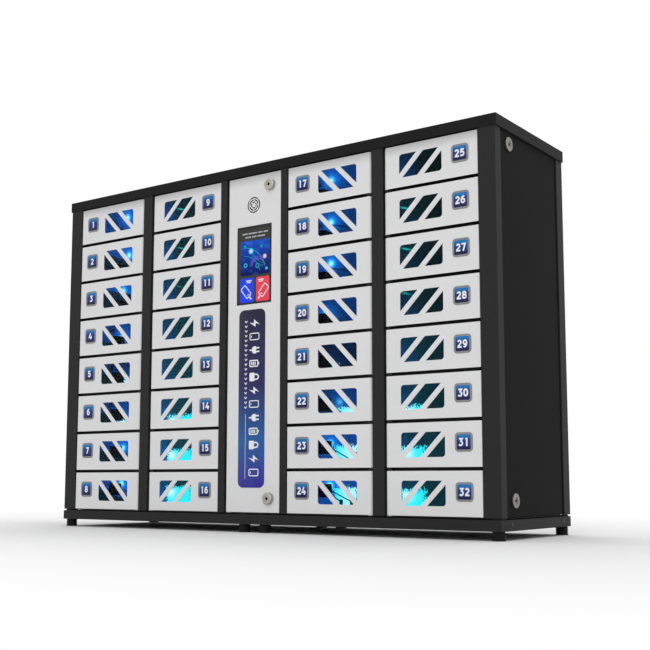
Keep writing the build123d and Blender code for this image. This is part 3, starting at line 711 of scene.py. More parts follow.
def light_group():
    """Painted light given off by the compartments' inner paint as glow. A place on the left wall is given by
    how far across and down the door's window it is seen from the front right, and a place on the ceiling by
    the place on the wall behind it. The first and third columns are blue with a bright core, and the others
    dark teal. In the lower rows all have ragged bright patches."""
    tree, _, result = new_group("Painted compartment light", {}, {"Color": tuple})
    place = place_on(tree)
    x, y, z = split(place)
    on_right = x.above(0.0)
    shifted = (1.0 - on_right) * COLUMN_STEP + x
    second = shifted.above(SECOND_WALL - 0.02)
    first = 1.0 - second
    wall = second * (SECOND_WALL - FIRST_WALL) + FIRST_WALL
    across = (shifted - wall).at_least(0.0)
    row_place = (z - ROW_LINE) / PITCH
    row = (ROWS - 1.0) - row_place.floor()
    door = on_right * ROWS + row
    start, span, lean = stepped(on_right * 2.0 + second, WALL_VIEWS)
    u = (y + across / lean + start) / span
    sight = ((ROWS - 1.0) - row) * SIGHT_RISE * (y - FACE_Y)
    v = (WINDOW_TOP - (row_place.fraction() - sight)) / WINDOW_SHARE
    speckle = (noise(place, 210.0, 3.0) * 4.0 - 1.0).at_least(0.25)
    ragged = noise(place, 230.0, 4.0) - 0.5

    def patch(marks, column):
        """A patch with ragged edges from the marks' first value down and between their other two across."""
        sides = (ragged * 0.8 + (v - marks[0]), ragged * 0.4 + (u - marks[1]), ragged * 0.4 + (marks[2] - u))
        below, left, right = [eased(side, -EDGE, EDGE) for side in sides]
        return below * left * right * marks[0].below(0.99) * column

    # Blue columns
    cores = stepped(door, BLUE_CORES)
    spots = fleck(u, v, stepped(door, BLACK_SPOTS), SPOT_SIZE)
    line = fleck(u, v, stepped(door, DARK_LINES), LINE_SIZE, LINE_SLOPE)
    bare = 1.0 - (spots + line).at_most(1.0)
    strength, left_reach, right_reach = stepped(door, BLUE_WASH)
    over = eased(ragged * 0.25 + (u * right_reach + left_reach - v), -WASH_EDGE, WASH_EDGE)
    wash = fleck(u, v, cores, HALO_SIZE) + strength * (speckle * 0.45 + 0.02)
    blue = wash * (over * 0.95 + 0.05) * bare * first
    core = fleck(u, v, cores, CORE_SIZE) * first * bare
    back_patch = patch(stepped(door, BACK_PATCHES), first)

    # Teal columns
    patches = stepped(door, FRONT_PATCHES)
    front_patch = patch(patches, second)
    burst = spot(u, v, (patches[1] + 0.12, patches[0] + 0.22), BURST_SIZE)
    streak = fleck(u, v, stepped(door, STREAKS), STREAK_SIZE, STREAK_SLOPE) * second
    teal, edge_blue, darkening = stepped(door, TEAL_WASH)
    teal = teal * speckle * (1.0 - eased(u, 0.1, 1.0) * darkening) * second
    edge_blue = edge_blue * second * eased(u, 0.55, -0.05) * (v * 0.8 + 0.2)
    shown = colours()
    # Painted light: the glow colours, each by its mask
    put(result, {"Color": mixed(
        (blue, shown.glow_blue), (core + (back_patch + front_patch), shown.glow_cyan),
        (core * core, (0.40, 0.25, 0.1)), (front_patch * burst, (0.6, 0.1, 0.0)),
        (back_patch * eased(u, 0.4, 0.9), (0.45, 0.1, 0.0)), (edge_blue, (0.003, 0.075, 0.40)),
        (teal, (0.002, 0.046, 0.066)), (streak, (0.01, 0.55, 0.50)),
        ((1.0 - over) * first, (0.001, 0.008, 0.009)),
    )})


def new_material(name):
    """A material with its Principled shader, ready for nodes."""
    material = bpy.data.materials.new(name)
    material.use_nodes = True
    tree = material.node_tree
    return material, tree, tree.nodes["Principled BSDF"]


def bump(height, shader, strength):
    """Roughs up a shader's surface by a height."""
    node = add_node(height.tree, "ShaderNodeBump")
    put(node, {"Strength": strength, "Distance": 0.0002, "Height": height})
    wire(Value(node.outputs["Normal"]), shader.inputs["Normal"])


def coated(name, colour, gloss, drift=0.1, grain=0.25, specular=0.5, shade=0.0):
    """Painted or moulded finish from the powder coat group, with painted shade that darkens it by a share
    close under the lid. A colour that doesn't drift is the same all over, and a finish without grain is
    smooth."""
    material, tree, shader = new_material(name)
    inputs = {"Color": colour, "Grain scale": 1 / sizes().grain_size, "Drift": drift, "Gloss": gloss}
    tone, roughness, height = use_group(tree, "Powder coat", inputs)
    # Painted shade: darker close under the lid, where the lid's shadow falls on the top row of doors
    if shade:
        near = eased(split(place_on(tree))[2], LEAVES_TOP - 30 * MM, LEAVES_TOP + 4 * MM)
        tone = scaled(tone, near * -shade + 1.0)
    put(shader, {"Base Color": tone if drift else colour, "Roughness": roughness})
    put(shader, {"Specular IOR Level": specular})
    if grain:
        bump(height, shader, grain)
    return material


def brushed(name, colour, gloss, stretch=(100, 100, 3)):
    """Bright metal from the fine lines group."""
    material, tree, shader = new_material(name)
    roughness, height = use_group(tree, "Fine lines", {"Stretch": stretch, "Gloss": gloss})
    put(shader, {"Base Color": colour, "Metallic": 1.0, "Roughness": roughness})
    bump(height, shader, 0.06)
    return material


def clear_pane():
    """Clear plastic pane, with a low index so that the dark compartments stay dark behind it."""
    material, _, shader = new_material("clear pane")
    put(shader, {"Base Color": (0.93, 0.97, 1.0), "Roughness": 0.02, "IOR": 1.12, "Transmission Weight": 1.0})
    return material


def shine(shader, colour, strength):
    """Turns a finish into a lit one: black paint that gives off the colour."""
    for link in list(shader.inputs["Base Color"].links):
        shader.id_data.links.remove(link)
    put(shader, {"Base Color": (0, 0, 0), "Specular IOR Level": 0.04})
    put(shader, {"Emission Color": colour, "Emission Strength": strength})


def printed_finish(name, colour, gloss, glow=0.0):
    """Ink or lit screen colour from the ink group."""
    material, tree, shader = new_material(name)
    tone, roughness = use_group(tree, "Ink", {"Color": colour, "Gloss": gloss})
    put(shader, {"Base Color": tone, "Roughness": roughness, "Specular IOR Level": 0.2})
    if glow:
        shine(shader, tone, glow)
    return material


def gradient_print(name, stops, roughness, glow=0.0, cloud=0.0, cloud_colour=(0, 0, 0)):
    """A print whose colour runs up the shape through (height, colour) stops, with clouds of one colour."""
    material, tree, shader = new_material(name)
    shift, mask = use_group(tree, "Clouds", {})
    ramp = add_node(tree, "ShaderNodeValToRGB")
    elements = ramp.color_ramp.elements
    while len(elements) < len(stops):
        elements.new(0.5)
    for element, (height, colour) in zip(elements, stops):
        element.position = height
        element.color = (*colour, 1)
    wire(shift + split(place_on(tree, "UV"))[1], ramp.inputs["Fac"])
    tone = Value(ramp.outputs["Color"])
    if cloud:
        tone = vector_math("ADD", tone, scaled(cloud_colour, mask * cloud))
    put(shader, {"Base Color": tone, "Roughness": roughness, "Specular IOR Level": 0.2})
    if glow:
        shine(shader, tone, glow)
    return material


def inner_paint():
    """Dark gloss paint inside the compartments, which gives off the painted light of the compartment light
    group.
    """
    material, tree, shader = new_material("inner paint")
    light, = use_group(tree, "Painted compartment light", {})
    put(shader, {"Emission Color": light, "Emission Strength": 1.0})
    put(shader, {"Base Color": (0.005, 0.008, 0.010), "Roughness": 0.6, "Specular IOR Level": 0.1})
    return material


def light_cover():
    """Lit cover of the light panels: nearly white along its middle, blue towards its upper and lower edges,
    with the lamps behind it showing as faint dots."""
    material, tree, shader = new_material("light cover")
    low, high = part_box("light_bars")
    share = (high.z - low.z) / PITCH - (ROWS - 1)
    x, _, z = split(place_on(tree))
    up = ((z - low.z) / PITCH).fraction()
    middle = spot(up, up, (share / 2, share / 2), (0.45 * share, 0.45 * share))
    lamp_pitch = 12 * MM
    waves = [(side * (2 * math.pi / lamp_pitch)).sine() for side in (x, z)]
    glow = middle * (waves[0] * waves[1] * 0.12 + 0.88)
    tone = mixed((glow, (0.42, 0.86, 1.0)), (1.0 - glow, colours().glow_blue))
    shine(shader, tone, 1.0)
    put(shader, {"Roughness": 0.35})
    return material


FINISHES = {}


def finish(name):
    """The shared finish of that name."""
    return FINISHES[name]


def make_finishes():
    """Makes every shared finish, after the node groups that they use."""
    for make_group in (coat_group, ink_group, lines_group, cloud_group, light_group):
        make_group()
    shown = colours()
    badge = [
        (0.16, tuple(shown.badge_bottom)), (0.28, tuple(shown.badge_middle)),
        (0.62, tuple(shown.badge_middle)), (0.92, tuple(shown.badge_top)),
    ]
    banner = [
        (0.0, (0.045, 0.030, 0.330)), (0.25, (0.020, 0.115, 0.360)), (0.55, (0.022, 0.022, 0.110)),
        (1.0, (0.014, 0.014, 0.030)),
    ]
    picture = [(0.0, (0.004, 0.012, 0.110)), (0.5, (0.008, 0.035, 0.300)), (1.0, (0.012, 0.085, 0.520))]
    FINISHES.update({
        "frame": coated("black powder coat", shown.frame_black, 0.55, specular=0.15),
        "lid": coated("black lid powder coat", shown.lid_black, 0.55, specular=0.12),
        "panel": coated("side panel powder coat", shown.panel_black, 0.6, specular=0.03),
        # Near black painted shade on the doors' top and bottom faces, for the dark gaps between them
        "door edge": coated("painted door edge shade", (0.006, 0.006, 0.006), 0.6, specular=0.1),
        # The doors take painted shade close under the lid
        "door": coated("light grey powder coat", shown.door_grey, 0.45, 0.02, 0.12, specular=0.3, shade=0.35),
        "inner": inner_paint(),
        "plastic": coated("black plastic", (0.010, 0.010, 0.011), 0.4),
        # Near black: the own black of the hubs and the speaker, and painted shade in the front locks' key
        # recesses and on the speaker's slot walls
        "recess": coated("key recess", (0.003, 0.003, 0.003), 0.7, specular=0.1),
        "rubber": coated("black rubber", (0.010, 0.010, 0.010), 0.75, 0.2, 0.5, specular=0.2),
        "steel": brushed("zinc plated steel", (0.56, 0.56, 0.57), 0.35),
        "nickel": brushed("satin nickel", (0.44, 0.42, 0.395), 0.30, (40, 40, 40)),
        # A darker copy of the nickel for the heads and cores on the side panels, as painted shade on the
        # sides
        "nickel with painted side shade": brushed("nickel with painted side shade", (0.26, 0.25, 0.235), 0.40, (40, 40, 40)),
        "aluminium": brushed("satin aluminium", (0.62, 0.63, 0.65), 0.38),
        "pane": clear_pane(),
        "badge": gradient_print("badge print", badge, 0.3),
        "rim": printed_finish("badge rim", shown.badge_rim, 0.4),
        "white print": printed_finish("white print", (0.88, 0.88, 0.90), 0.4),
        "banner": gradient_print("banner print", banner, 0.35, cloud=0.3, cloud_colour=(0.030, 0.015, 0.12)),
        "lamp": light_cover(),
        "lead": coated("lead jacket", (0.006, 0.006, 0.007), 0.4),
        "screen": coated("screen glass", (0.029, 0.029, 0.026), 0.15, 0, 0, specular=0.3),
        "bezel": coated("screen edge", (0.008, 0.008, 0.008), 0.3, 0, 0, specular=0.3),
        "picture": gradient_print("screen picture", picture, 0.3, 0.9, 1.0, (0.02, 0.06, 0.30)),
        "dark print": printed_finish("dark print", (0.003, 0.003, 0.010), 0.4),
    })
    for name, colour, glow in (
        ("blue tile", shown.tile_blue, 0.9), ("red tile", shown.tile_red, 0.9),
        ("lit white", (0.75, 0.77, 0.85), 0.9), ("lit grey", (0.42, 0.43, 0.46), 0.9),
        ("lit violet", (0.085, 0.075, 0.50), 0.9), ("lit cyan", (0.03, 0.55, 0.80), 1.0),
        ("lit teal", (0.01, 0.28, 0.36), 1.0), ("lit pink", (0.80, 0.35, 0.45), 0.8),
    ):
        FINISHES[name] = printed_finish(name, colour, 0.3, glow)


# Stage: floor, light and camera. A lamp has a place, turns in degrees, a width and a power.
LAMPS = {
    "key": ((1.9, -6.0, 4.2), (64, 0, 16), 5.0, 92),
    "low": ((1.5, -5.0, 0.9), (88, 0, 16), 1.6, 9),
    "side": ((4.5, -0.5, 3.0), (60, 0, 85), 3.5, 1.5),
    "over": ((-0.2, 1.2, 3.8), (0, 0, 0), 4.0, 105),
}
# Camera: its place, how far it looks up and turns in degrees, and its lens in millimetres and shift
CAMERA_PLACE = (1.77305, -2.31926, 0.1329)
CAMERA_RISE, CAMERA_TURN = 6.72, 35.54
LENS, LENS_SHIFT = 60.15, (-0.0084, 0.0408)


class LOCKER_OT_stage(bpy.types.Operator):
    """Makes the floor, the soft studio light and the camera"""
    bl_idname = "locker.stage"
    bl_label = "Stage"

    def execute(self, context):
        scene = context.scene
        scene.view_settings.view_transform = "Standard"
        self.floor()
        self.world(scene)
        for name, (place, turns, width, power) in LAMPS.items():
            lamp = bpy.data.lights.new(name, "AREA")
            lamp.shape, lamp.size, lamp.energy = "SQUARE", width, power
            self.placed(scene, name, lamp, place, turns)
        camera = bpy.data.cameras.new("camera")
        camera.sensor_width, camera.lens = 36.0, LENS
        camera.shift_x, camera.shift_y = LENS_SHIFT
        turns = (90 + CAMERA_RISE, 0, CAMERA_TURN)
        scene.camera = self.placed(scene, "camera", camera, CAMERA_PLACE, turns)
        return {"FINISHED"}

    def placed(self, scene, name, data, place, turns):
        """A lamp or the camera, set at a place and turned."""
        thing = bpy.data.objects.new(name, data)
        thing.location = place
        thing.rotation_euler = Euler([math.radians(angle) for angle in turns])
        scene.collection.objects.link(thing)
        return thing

    def floor(self):
        """A wide floor that keeps the shadow near the cabinet and fades to white farther out."""
        half = 12.0
        mesh = bpy.data.meshes.new("floor")
        corners = [(-half, -half, 0), (half, -half, 0), (half, half, 0), (-half, half, 0)]
        mesh.from_pydata(corners, [], [(0, 1, 2, 3)])
        material, tree, shader = new_material("pale floor")
        put(shader, {"Base Color": (0.81, 0.81, 0.81), "Roughness": 0.9, "Specular IOR Level": 0.1})
        beyond = vector_math("SUBTRACT", vector_math("ABSOLUTE", place_on(tree)), (SIDE_X, -FACE_Y, 0))
        away = vector_math("LENGTH", vector_math("MAXIMUM", beyond, (0, 0, 0)))
        seen = Value(add_node(tree, "ShaderNodeLightPath").outputs["Is Camera Ray"])
        fade = add_node(tree, "ShaderNodeMixShader")
        wire(seen * eased(away, 0.25, 1.5), fade.inputs[0])
        for node, socket in (
            (shader, fade.inputs[1]),
            (add_node(tree, "ShaderNodeEmission"), fade.inputs[2]),
            (fade, tree.nodes["Material Output"].inputs["Surface"]),
        ):
            wire(Value(node.outputs[0]), socket)
        mesh.materials.append(material)
        floor = bpy.data.objects.new("floor", mesh)
        bpy.context.scene.collection.objects.link(floor)

    def world(self, scene):
        """Even white surroundings, at full strength where they are seen and softer as a light."""
        world = bpy.data.worlds.new("studio")
        world.use_nodes = True
        tree = world.node_tree
        path = add_node(tree, "ShaderNodeLightPath").outputs
        kinds = ("Camera", "Transmission", "Glossy")
        camera, clear, glossy = [Value(path[f"Is {kind} Ray"]) for kind in kinds]
        seen = camera.at_least(clear).at_least(glossy)
        put(tree.nodes["Background"], {"Color": (1, 1, 1), "Strength": seen * 0.38 + 0.62})
        scene.world = world


def lock_axis(node, across):
    """Place of a lock's axis across its panel and in height: the cam hangs down from an upper core and
    stands up from a lower one, so the axis lies one core radius from the core's other end."""
    low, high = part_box(node)
    middle, radius = (low[across] + high[across]) / 2, (high[across] - low[across]) / 2
    return middle, high.z - radius if node.endswith("upper") else low.z + radius


def leaf_and_heads(node, locks, across, head, rim, slots):
    """Splits a leaf from its lock heads and returns the leaf. A head's faces lie within its radius of a
    lock's axis, apart from the walls of the leaf's hole, which are as deep as the sheet."""
    raw = cad_copy(node)
    corner_points = read(raw.vertices, "co", 3)[read(raw.polygons, "vertices", 3, np.int32)]
    into = 1 - across
    depth = np.abs(corner_points[:, :, into])
    front = abs(FACE_Y) if across == 0 else SIDE_X - PANEL_RECESS
    in_sheet = (depth.max(1) < front + CLOSE / 10) & (depth.min(1) > front - SHEET - CLOSE)
    walls = in_sheet & (np.ptp(depth, axis=1) > MM)
    heads = np.zeros(len(raw.polygons), bool)
    pieces = []
    for lock in locks:
        middle, height = lock_axis(lock, across)
        offset = corner_points[:, :, [across, 2]] - [middle, height]
        heads |= (np.linalg.norm(offset, axis=2).max(1) < head / 2 + 2 * CLOSE) & ~walls
    for name, keep, (label, slot), width in (
        ("leaf", ~heads, slots[0], sizes().edge_round), ("lock_heads", heads, slots[1], rim),
    ):
        piece = stand_in(node, name, merged(with_faces(raw, keep)), [label])
        if name == "lock_heads":
            mark_rims(piece.data, [lock_axis(lock, across) for lock in locks], across, head / 2)
            round_edges(piece, width, 4, "WEIGHT")
            piece.modifiers[-1].use_clamp_overlap = False
            width = 0.3 * MM
        pieces.append(round_edges(piece, width))
    return pieces[0]


def mark_rims(mesh, axes, across, radius):
    """Marks the outer edges on the front of round heads, so that they can be rounded on their own."""
    points = read(mesh.vertices, "co", 3)
    depth = np.abs(points[:, 1 - across])
    offsets = points[:, None, [across, 2]] - np.array(axes)
    outer = (depth > depth.max() - CLOSE) & (np.linalg.norm(offsets, axis=2).min(1) > radius - 2 * CLOSE)
    ends = read(mesh.edges, "vertices", 2, np.int32)
    weights = mesh.attributes.new("bevel_weight_edge", "FLOAT", "EDGE")
    weights.data.foreach_set("value", outer[ends].all(1).astype(np.float32))


def lock_core(node, across, outer, inner):
    """Finishes a lock's core, with an inner finish in its key recess."""
    mesh = merged(cad_copy(node))
    middle, height = lock_axis(node, across)
    centres = face_centres(mesh)
    into = 1 - across
    depth = np.abs(centres[:, into])
    near = np.linalg.norm(centres[:, [across, 2]] - [middle, height], axis=1) < 4 * MM
    recessed = near & (depth < depth.max() - 0.5 * MM) & (depth > depth.max() - 6 * MM)
    round_edges(stand_in(node, "finish", mesh, [outer, inner], recessed), 0.3 * MM)


class LOCKER_OT_cabinet(bpy.types.Operator):
    """Finishes the posts, rails, lid, base, feet, floor plate, rear panel and side panels"""
    bl_idname = "locker.cabinet"
    bl_label = "Cabinet"

    def execute(self, context):
        for node in ("frame_posts", "base_frame"):
            dressed(node, "frame")
        dressed("top_cover", "lid", 0.0012)
        for node in ("cross_rails", "floor_plate", "rear_panel"):
            finish_node(node, "frame")
        self.feet()
        self.screws()
        for side in ("left", "right"):
            locks = [f"side_lock_{side}_{level}" for level in ("upper", "lower")]
            # The side heads and cores take the darker nickel, whose darkness is painted shade
            slots = (("panel", "frame_paint"), ("nickel with painted side shade", "chrome_plate"))
            leaf_and_heads(f"side_panel_{side}", locks, 1, SIDE_HEAD, SIDE_HEAD_ROUND, slots)
            for lock in locks:
                lock_core(lock, 1, "nickel with painted side shade", "nickel with painted side shade")
        return {"FINISHED"}

    def feet(self):
        """Ribbed rubber feet: the radius steps between the foot's own and a little less, rib by rib."""
        mesh = merged(cad_copy("rubber_feet"))
        part, count = loose_parts(mesh)
        centres = face_centres(mesh)
        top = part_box("rubber_feet")[1].z
        ribs = sizes().foot_ribs
        radius, groove, edge = 15 * MM, 13.4 * MM, 0.6 * MM
        profile = [(radius - edge, 0.0)]
        for rib in range(ribs):
            low, high, end = [(rib + share) * top / ribs for share in (0, 0.68, 1)]
            profile += [(radius, low + edge), (radius, high - edge), (groove, high), (groove, end)]
        shapes = []
        for k in range(count):
            middle = (centres[part == k].min(0) + centres[part == k].max(0)) / 2
            points, faces = turned_surface(profile)
            points = np.stack([points[:, 0] + middle[0], points[:, 2] + middle[1], points[:, 1]], -1)
            shapes.append((points, [face[::-1] for face in faces]))
        points, faces = joined(shapes)
        piece = new_piece("rubber_feet_ribbed", points, faces, [finish("rubber")], "cabinet")
        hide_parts("rubber_feet")

    def screws(self):
        """Low screw heads, each with a cross, on both ends of the base and along the rear panel."""
        radius, rise, arm, line = 4.2 * MM, 0.8 * MM, 2 * MM, 0.7 * MM
        head = turned_surface([(radius, 0), (radius, rise / 2), (radius - 1.2 * MM, rise)], 20)
        cross = [stroke([(-arm, 0), (arm, 0)], line), stroke([(0, -arm), (0, arm)], line)]
        lines = [moved(bar, out=rise - 0.1 * MM + 0.02 * MM * k) for k, bar in enumerate(cross)]
        points, faces = joined([head] + lines)
        shapes = []
        base_height, base_places = 35 * MM, (-133 * MM, 145 * MM)
        for side in (-1, 1):
            for y in base_places:
                placed = np.stack([side * (SIDE_X + points[:, 1]), side * points[:, 0], points[:, 2]], -1)
                shapes.append((placed + [0, y, base_height], faces))
        low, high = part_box("rear_panel")
        rim = 12 * MM
        for x in np.linspace(low.x + rim, high.x - rim, 6):
            for z in (low.z + rim, high.z - rim):
                placed = np.stack([-points[:, 0], points[:, 1], points[:, 2]], -1)
                shapes.append((placed + [x, high.y, z], faces))
        points, faces = joined(shapes)
        new_piece("cabinet_screws", points, faces, [finish("plastic")], "cabinet")


class LOCKER_OT_inside(bpy.types.Operator):
    """Finishes the compartments, lights, hubs, leads, latches, pivots and power gear"""
    bl_idname = "locker.inside"
    bl_label = "Inside"

    def execute(self, context):
        for node in ("compartment_walls", "compartment_shelves"):
            finish_node(node, "inner")
        for node, label, slot, edge in (
            ("light_bars", "lamp", "light_cover", 0.0015),
            ("charging_hubs", "recess", "black_plastic", 0.0015),
            ("charging_leads", "lead", "lead_jacket", 0.0012),
            ("door_latches", "plastic", "black_plastic", 0.0006),
            ("power_inlet", "plastic", "black_plastic", 0.0008),
            ("control_unit", "aluminium", "bare_aluminium", 0.0005),
            ("power_supply", "aluminium", "bare_aluminium", 0.001),
            ("speaker", "recess", "black_plastic", 0.0006),
        ):
            dressed(node, label, edge)
        self.pivots()
        return {"FINISHED"}

    def pivots(self):
        """Bare steel rods, which are the tall parts, and painted lugs."""
        mesh = merged(cad_copy("hinge_pivots"))
        part, count = loose_parts(mesh)
        centres = face_centres(mesh)
        tall = np.array([np.ptp(centres[part == k][:, 2]) > PITCH for k in range(count)])
        piece = stand_in("hinge_pivots", "finish", mesh, ["frame", "steel"], tall[part])
        round_edges(piece, 0.4 * MM)


# Parts of a door from the widest to the narrowest, with their finishes and slots
DOOR_PARTS = (
    ("skin", "door", "door_paint"), ("pane", "pane", "door_paint"), ("strike", "steel", "bare_steel"),
)


class LOCKER_OT_doors(bpy.types.Operator):
    """Makes the door skins, panes and strikes from the doors' solids"""
    bl_idname = "locker.doors"
    bl_label = "Doors"

    def execute(self, context):
        for node in DOORS:
            mesh = merged(cad_copy(node))
            part, count = loose_parts(mesh)
            centres = face_centres(mesh)
            order = sorted(range(count), key=lambda k: -np.ptp(centres[part == k][:, 0]))
            for k, (name, label, slot) in zip(order, DOOR_PARTS):
                piece = stand_in(node, name, with_faces(mesh, part == k), [label])
                if name == "skin":
                    self.mark_corners(piece.data)
                    self.mark_seals(piece.data, node)
                    round_edges(piece, sizes().window_corner, 4, "WEIGHT")
                if name != "pane":
                    round_edges(piece, sizes().edge_round)
        return {"FINISHED"}

    def mark_corners(self, mesh):
        """Marks the short edges through the sheet where two faces of a window's corner meet at 45 degrees
        and one of them is small, so that the corner can be rounded."""
        with opened(mesh) as work:
            layer = work.edges.layers.float.new("bevel_weight_edge")
            for edge in work.edges:
                run = edge.verts[1].co - edge.verts[0].co
                through = abs(run.x) + abs(run.z) < 1e-6 and abs(run.y) < 2 * MM and len(edge.link_faces) == 2
                if through and 40 < math.degrees(edge.calc_face_angle(0.0)) < 50:
                    small = min(face.calc_area() for face in edge.link_faces) < 12 * MM * MM
                    edge[layer] = float(small)

    def mark_seals(self, mesh, node):
        """Gives the top and bottom faces of a leaf a near black finish, as painted shade for the dark gaps
        between the doors.
        """
        low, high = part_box(node)
        mesh.materials.append(finish("door edge"))
        height = face_centres(mesh)[:, 2]
        painted_shade_faces = (np.abs(height - low.z) < CLOSE) | (np.abs(height - high.z) < CLOSE)
        mesh.polygons.foreach_set("material_index", painted_shade_faces.astype(np.int32))


class LOCKER_OT_badges(bpy.types.Operator):
    """Makes the number badges"""
    bl_idname = "locker.badges"
    bl_label = "Badges"

    def execute(self, context):
        size = sizes()
        depth, border = size.badge_depth, size.badge_border
        rim = [(0, 0), (0, 0.6 * depth), (0.4 * depth, depth), (border, depth)]
        face = [(0, 0.9 * depth), (0, depth), (0.0003, 1.05 * depth)]
        width, height = size.badge_width, size.badge_height
        for number, node in enumerate(DOORS, 1):
            low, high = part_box(node)
            free_left = (number - 1) // ROWS in (0, 2)
            x = low.x + size.badge_margin if free_left else high.x - size.badge_margin
            z = (low.z + high.z) / 2 + size.badge_rise
            inner = plate_surface(width - 2 * border, height - 2 * border, size.badge_corner - border, face)
            shapes = [
                (moved(plate_surface(width, height, size.badge_corner, rim), x, z), "rim"),
                (moved(inner, x, z), "badge"),
                (moved(numeral(str(number), size.numeral_height), x, z, 1.07 * depth), "white print"),
            ]
            printed(f"badge_{number:02d}", shapes, node)
        return {"FINISHED"}


class LOCKER_OT_control_door(bpy.types.Operator):
    """Makes the control door's leaf, lock heads, cores and screen body"""
    bl_idname = "locker.control_door"
    bl_label = "Control door"

    def execute(self, context):
        locks = ["front_lock_upper", "front_lock_lower"]
        slots = (("door", "door_paint"), ("nickel", "chrome_plate"))
        leaf = leaf_and_heads("control_door", locks, 0, FRONT_HEAD, FRONT_HEAD_ROUND, slots)
        self.mark_slots(leaf.data)
        for lock in locks:
            # The front locks' key recesses take the near black finish as painted shade
            lock_core(lock, 0, "nickel", "recess")
        dressed("touch_screen", "bezel", 0.0003)
        return {"FINISHED"}

    def mark_slots(self, mesh):
        """Gives the walls of the speaker's slots the near black finish that the speaker behind them has, as
        painted shade in the slots.
        """
        low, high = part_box("speaker")
        centres = face_centres(mesh)
        x, z = centres[:, 0], centres[:, 2]
        inside = (x > low.x) & (x < high.x) & (z > low.z) & (z < high.z)
        walls = np.array([abs(face.normal.y) < 0.5 for face in mesh.polygons])
        mesh.materials.append(finish("recess"))
        mesh.polygons.foreach_set("material_index", (inside & walls).astype(np.int32))


def below_top(drop):
    """Height of a place that lies a distance below the doors' top edge."""
    return LEAVES_TOP - drop * MM


def field(left, right, top, bottom, corner, out=0.0):
    """A flat rounded field between millimetre places across and below the doors' top edge."""
    outline = rounded_outline((right - left) * MM, (bottom - top) * MM, corner * MM)
    return moved(flat_shape(outline), (left + right) / 2 * MM, below_top((top + bottom) / 2), out)


class LOCKER_OT_screen(bpy.types.Operator):
    """Makes the picture on the touch screen: title bars, an abstract picture and two plain buttons"""
    bl_idname = "locker.screen"
    bl_label = "Screen"

    def execute(self, context):
        layer = 0.00012
        shapes = [
            (field(-50.5, 54.2, 140.5, 333.5, 1.5), "screen"),
            (field(-43, 53.5, 172, 263.5, 1.0, layer), "picture"),
            (field(-43.4, 2.0, 270, 334, 4.0, layer), "blue tile"),
            (field(9.6, 53.7, 270, 334, 4.0, layer), "red tile"),
        ]
        bars = (
            (151, ((-38, -20), (-17, 12), (15, 30), (33, 48))),
            (160.5, ((-28, -8), (-5, 10), (13, 38))),
        )
        for top, runs in bars:
            shapes += [(field(left, right, top, top + 3.6, 1.2, layer), "lit grey") for left, right in runs]
        shapes += self.picture(2 * layer) + self.buttons(2 * layer)
        printed("screen_image", shapes, "control_door")
        return {"FINISHED"}

    def picture(self, out):
        """Soft fans, dots and curved light trails on the picture."""
        shapes = []
        fans = ((12, 250, 21, 30, 20, 160, "lit violet", 9.0), (10, 262, 34, 34, 8, 75, "dark print", 7.0))
        for k, (x, drop, wide, tall, start, end, label, width) in enumerate(fans):
            path = arc(x * MM, below_top(drop), wide * MM, tall * MM, start, end, 20)
            shapes.append((moved(stroke(path, width * MM), out=out - (4 - 2 * k) * 1e-5), label))
        trails = (
            (-40, 258, 80, 70, 12, 78, "lit cyan", 1.0), (-40, 262, 62, 52, 10, 82, "lit teal", 1.6),
            (50, 176, 60, 62, 188, 262, "lit teal", 1.0),
        )
        for k, (x, drop, wide, tall, start, end, label, width) in enumerate(trails):
            path = arc(x * MM, below_top(drop), wide * MM, tall * MM, start, end, 24)
            shapes.append((moved(stroke(path, width * MM), out=out + k * 2e-5), label))
        dots = (
            (-29, 187, 5.0, "lit teal"), (-8, 200, 8.0, "lit cyan"), (-8, 200, 4.5, "lit white"),
            (27, 190, 4.0, "lit teal"), (38, 218, 6.5, "lit pink"), (38, 218, 3.6, "lit white"),
            (14, 240, 7.0, "lit teal"), (14, 240, 3.0, "dark print"), (-26, 236, 6.0, "lit cyan"),
            (-26, 236, 3.5, "dark print"), (44, 250, 4.0, "lit cyan"),
        )
        for k, (x, drop, radius, label) in enumerate(dots):
            circle = arc(x * MM, below_top(drop), radius * MM, radius * MM, 0, 345, 23)
            shapes.append((moved(flat_shape(circle), out=out + (3 + k) * 2e-5), label))
        return shapes

    def buttons(self, out):
        """A tilted telephone with its lead under two bars on each button, mirrored from one to the other."""
        shapes = []
        phone_size, tilt = 36 * MM, 40
        lead = stroke([(0, -27 * MM), (0, -19 * MM)], 4.5 * MM)
        signs = [moved(sign, size=phone_size) for sign in phone_sign()] + [lead]
        for middle, way in ((-20.7, 1), (31.6, -1)):
            x, z = (middle - way * 3) * MM, below_top(306)
            for k, sign in enumerate(signs):
                shapes.append((moved(sign, x, z, out + k * 2e-5, turn=way * tilt), "lit white"))
            bar = middle + way * 6
            shapes.append((field(bar - 9, bar + 9, 276, 279.5, 1.0, out), "lit white"))
            shapes.append((field(bar - 7, bar + 7, 281, 283.4, 1.0, out), "lit white"))
        return shapes


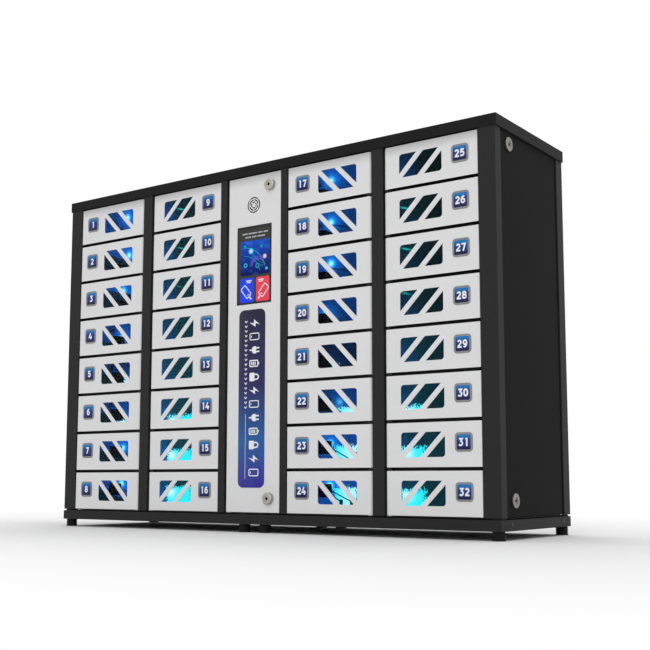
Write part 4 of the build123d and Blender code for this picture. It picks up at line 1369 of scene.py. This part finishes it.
class LOCKER_OT_banner(bpy.types.Operator):
    """Makes the long plate under the screen, with a row of signs that reads downwards"""
    bl_idname = "locker.banner"
    bl_label = "Banner"

    def execute(self, context):
        size = sizes()
        middle_x, middle_z = -2.2 * MM, below_top(582.2)
        edge, thickness = 0.6 * MM, 1 * MM
        profile = [(0, 0), (0, edge), (edge, thickness)]
        plate = plate_surface(size.banner_width, size.banner_height, size.banner_corner, profile)
        shapes = [(moved(plate, middle_x, middle_z), "banner")]
        out = thickness + 0.05 * MM
        sign_line, sign_size, down = 6.5 * MM, 33 * MM, -90
        signs = (bolt_sign, phone_sign, plug_sign, battery_sign, lock_sign)
        for order, drop in enumerate(np.linspace(390, 772, 12)):
            for k, sign in enumerate(signs[order % len(signs)]()):
                placed = moved(sign, sign_line, below_top(drop), out + k * 3e-5, sign_size, down)
                shapes.append((placed, "white print"))
        arrow_line, arrow_size = -21.3 * MM, 10 * MM
        arrow = stroke([(-0.25, 0.38), (0.2, 0), (-0.25, -0.38)], 0.22)
        for drop in 385 + 12.3 * np.arange(19):
            placed = moved(arrow, arrow_line, below_top(drop), out, arrow_size, down)
            shapes.append((placed, "white print"))
        rule = stroke([(arrow_line, below_top(624)), (arrow_line, below_top(788))], 1.1 * MM)
        shapes.append((moved(rule, out=out), "white print"))
        printed("banner_plate", shapes, "control_door")
        return {"FINISHED"}


STEPS = ("stage", "cabinet", "inside", "doors", "badges", "control_door", "screen", "banner")


class LOCKER_PT_panel(bpy.types.Panel):
    """Buttons for every step, and the sizes and colours"""
    bl_idname = "LOCKER_PT_panel"
    bl_label = "Charging Locker"
    bl_space_type = "VIEW_3D"
    bl_region_type = "UI"
    bl_category = "Locker"

    def draw(self, context):
        layout = self.layout
        for step in STEPS:
            layout.operator(f"locker.{step}")
        for group in (context.scene.locker_sizes, context.scene.locker_colours):
            box = layout.box()
            for name in group.bl_rna.properties.keys():
                if name not in {"rna_type", "name"}:
                    box.prop(group, name)


CLASSES = (
    LockerSizes, LockerColours, LOCKER_OT_stage, LOCKER_OT_cabinet, LOCKER_OT_inside, LOCKER_OT_doors,
    LOCKER_OT_badges, LOCKER_OT_control_door, LOCKER_OT_screen, LOCKER_OT_banner, LOCKER_PT_panel,
)


def register():
    for cls in CLASSES:
        bpy.utils.register_class(cls)
    bpy.types.Scene.locker_sizes = PointerProperty(type=LockerSizes)
    bpy.types.Scene.locker_colours = PointerProperty(type=LockerColours)


def unregister():
    del bpy.types.Scene.locker_colours
    del bpy.types.Scene.locker_sizes
    for cls in reversed(CLASSES):
        bpy.utils.unregister_class(cls)


def main():
    """Makes the whole locker."""
    register()
    make_finishes()
    for step in STEPS:
        getattr(bpy.ops.locker, step)()


if __name__ == "__main__":
    main()
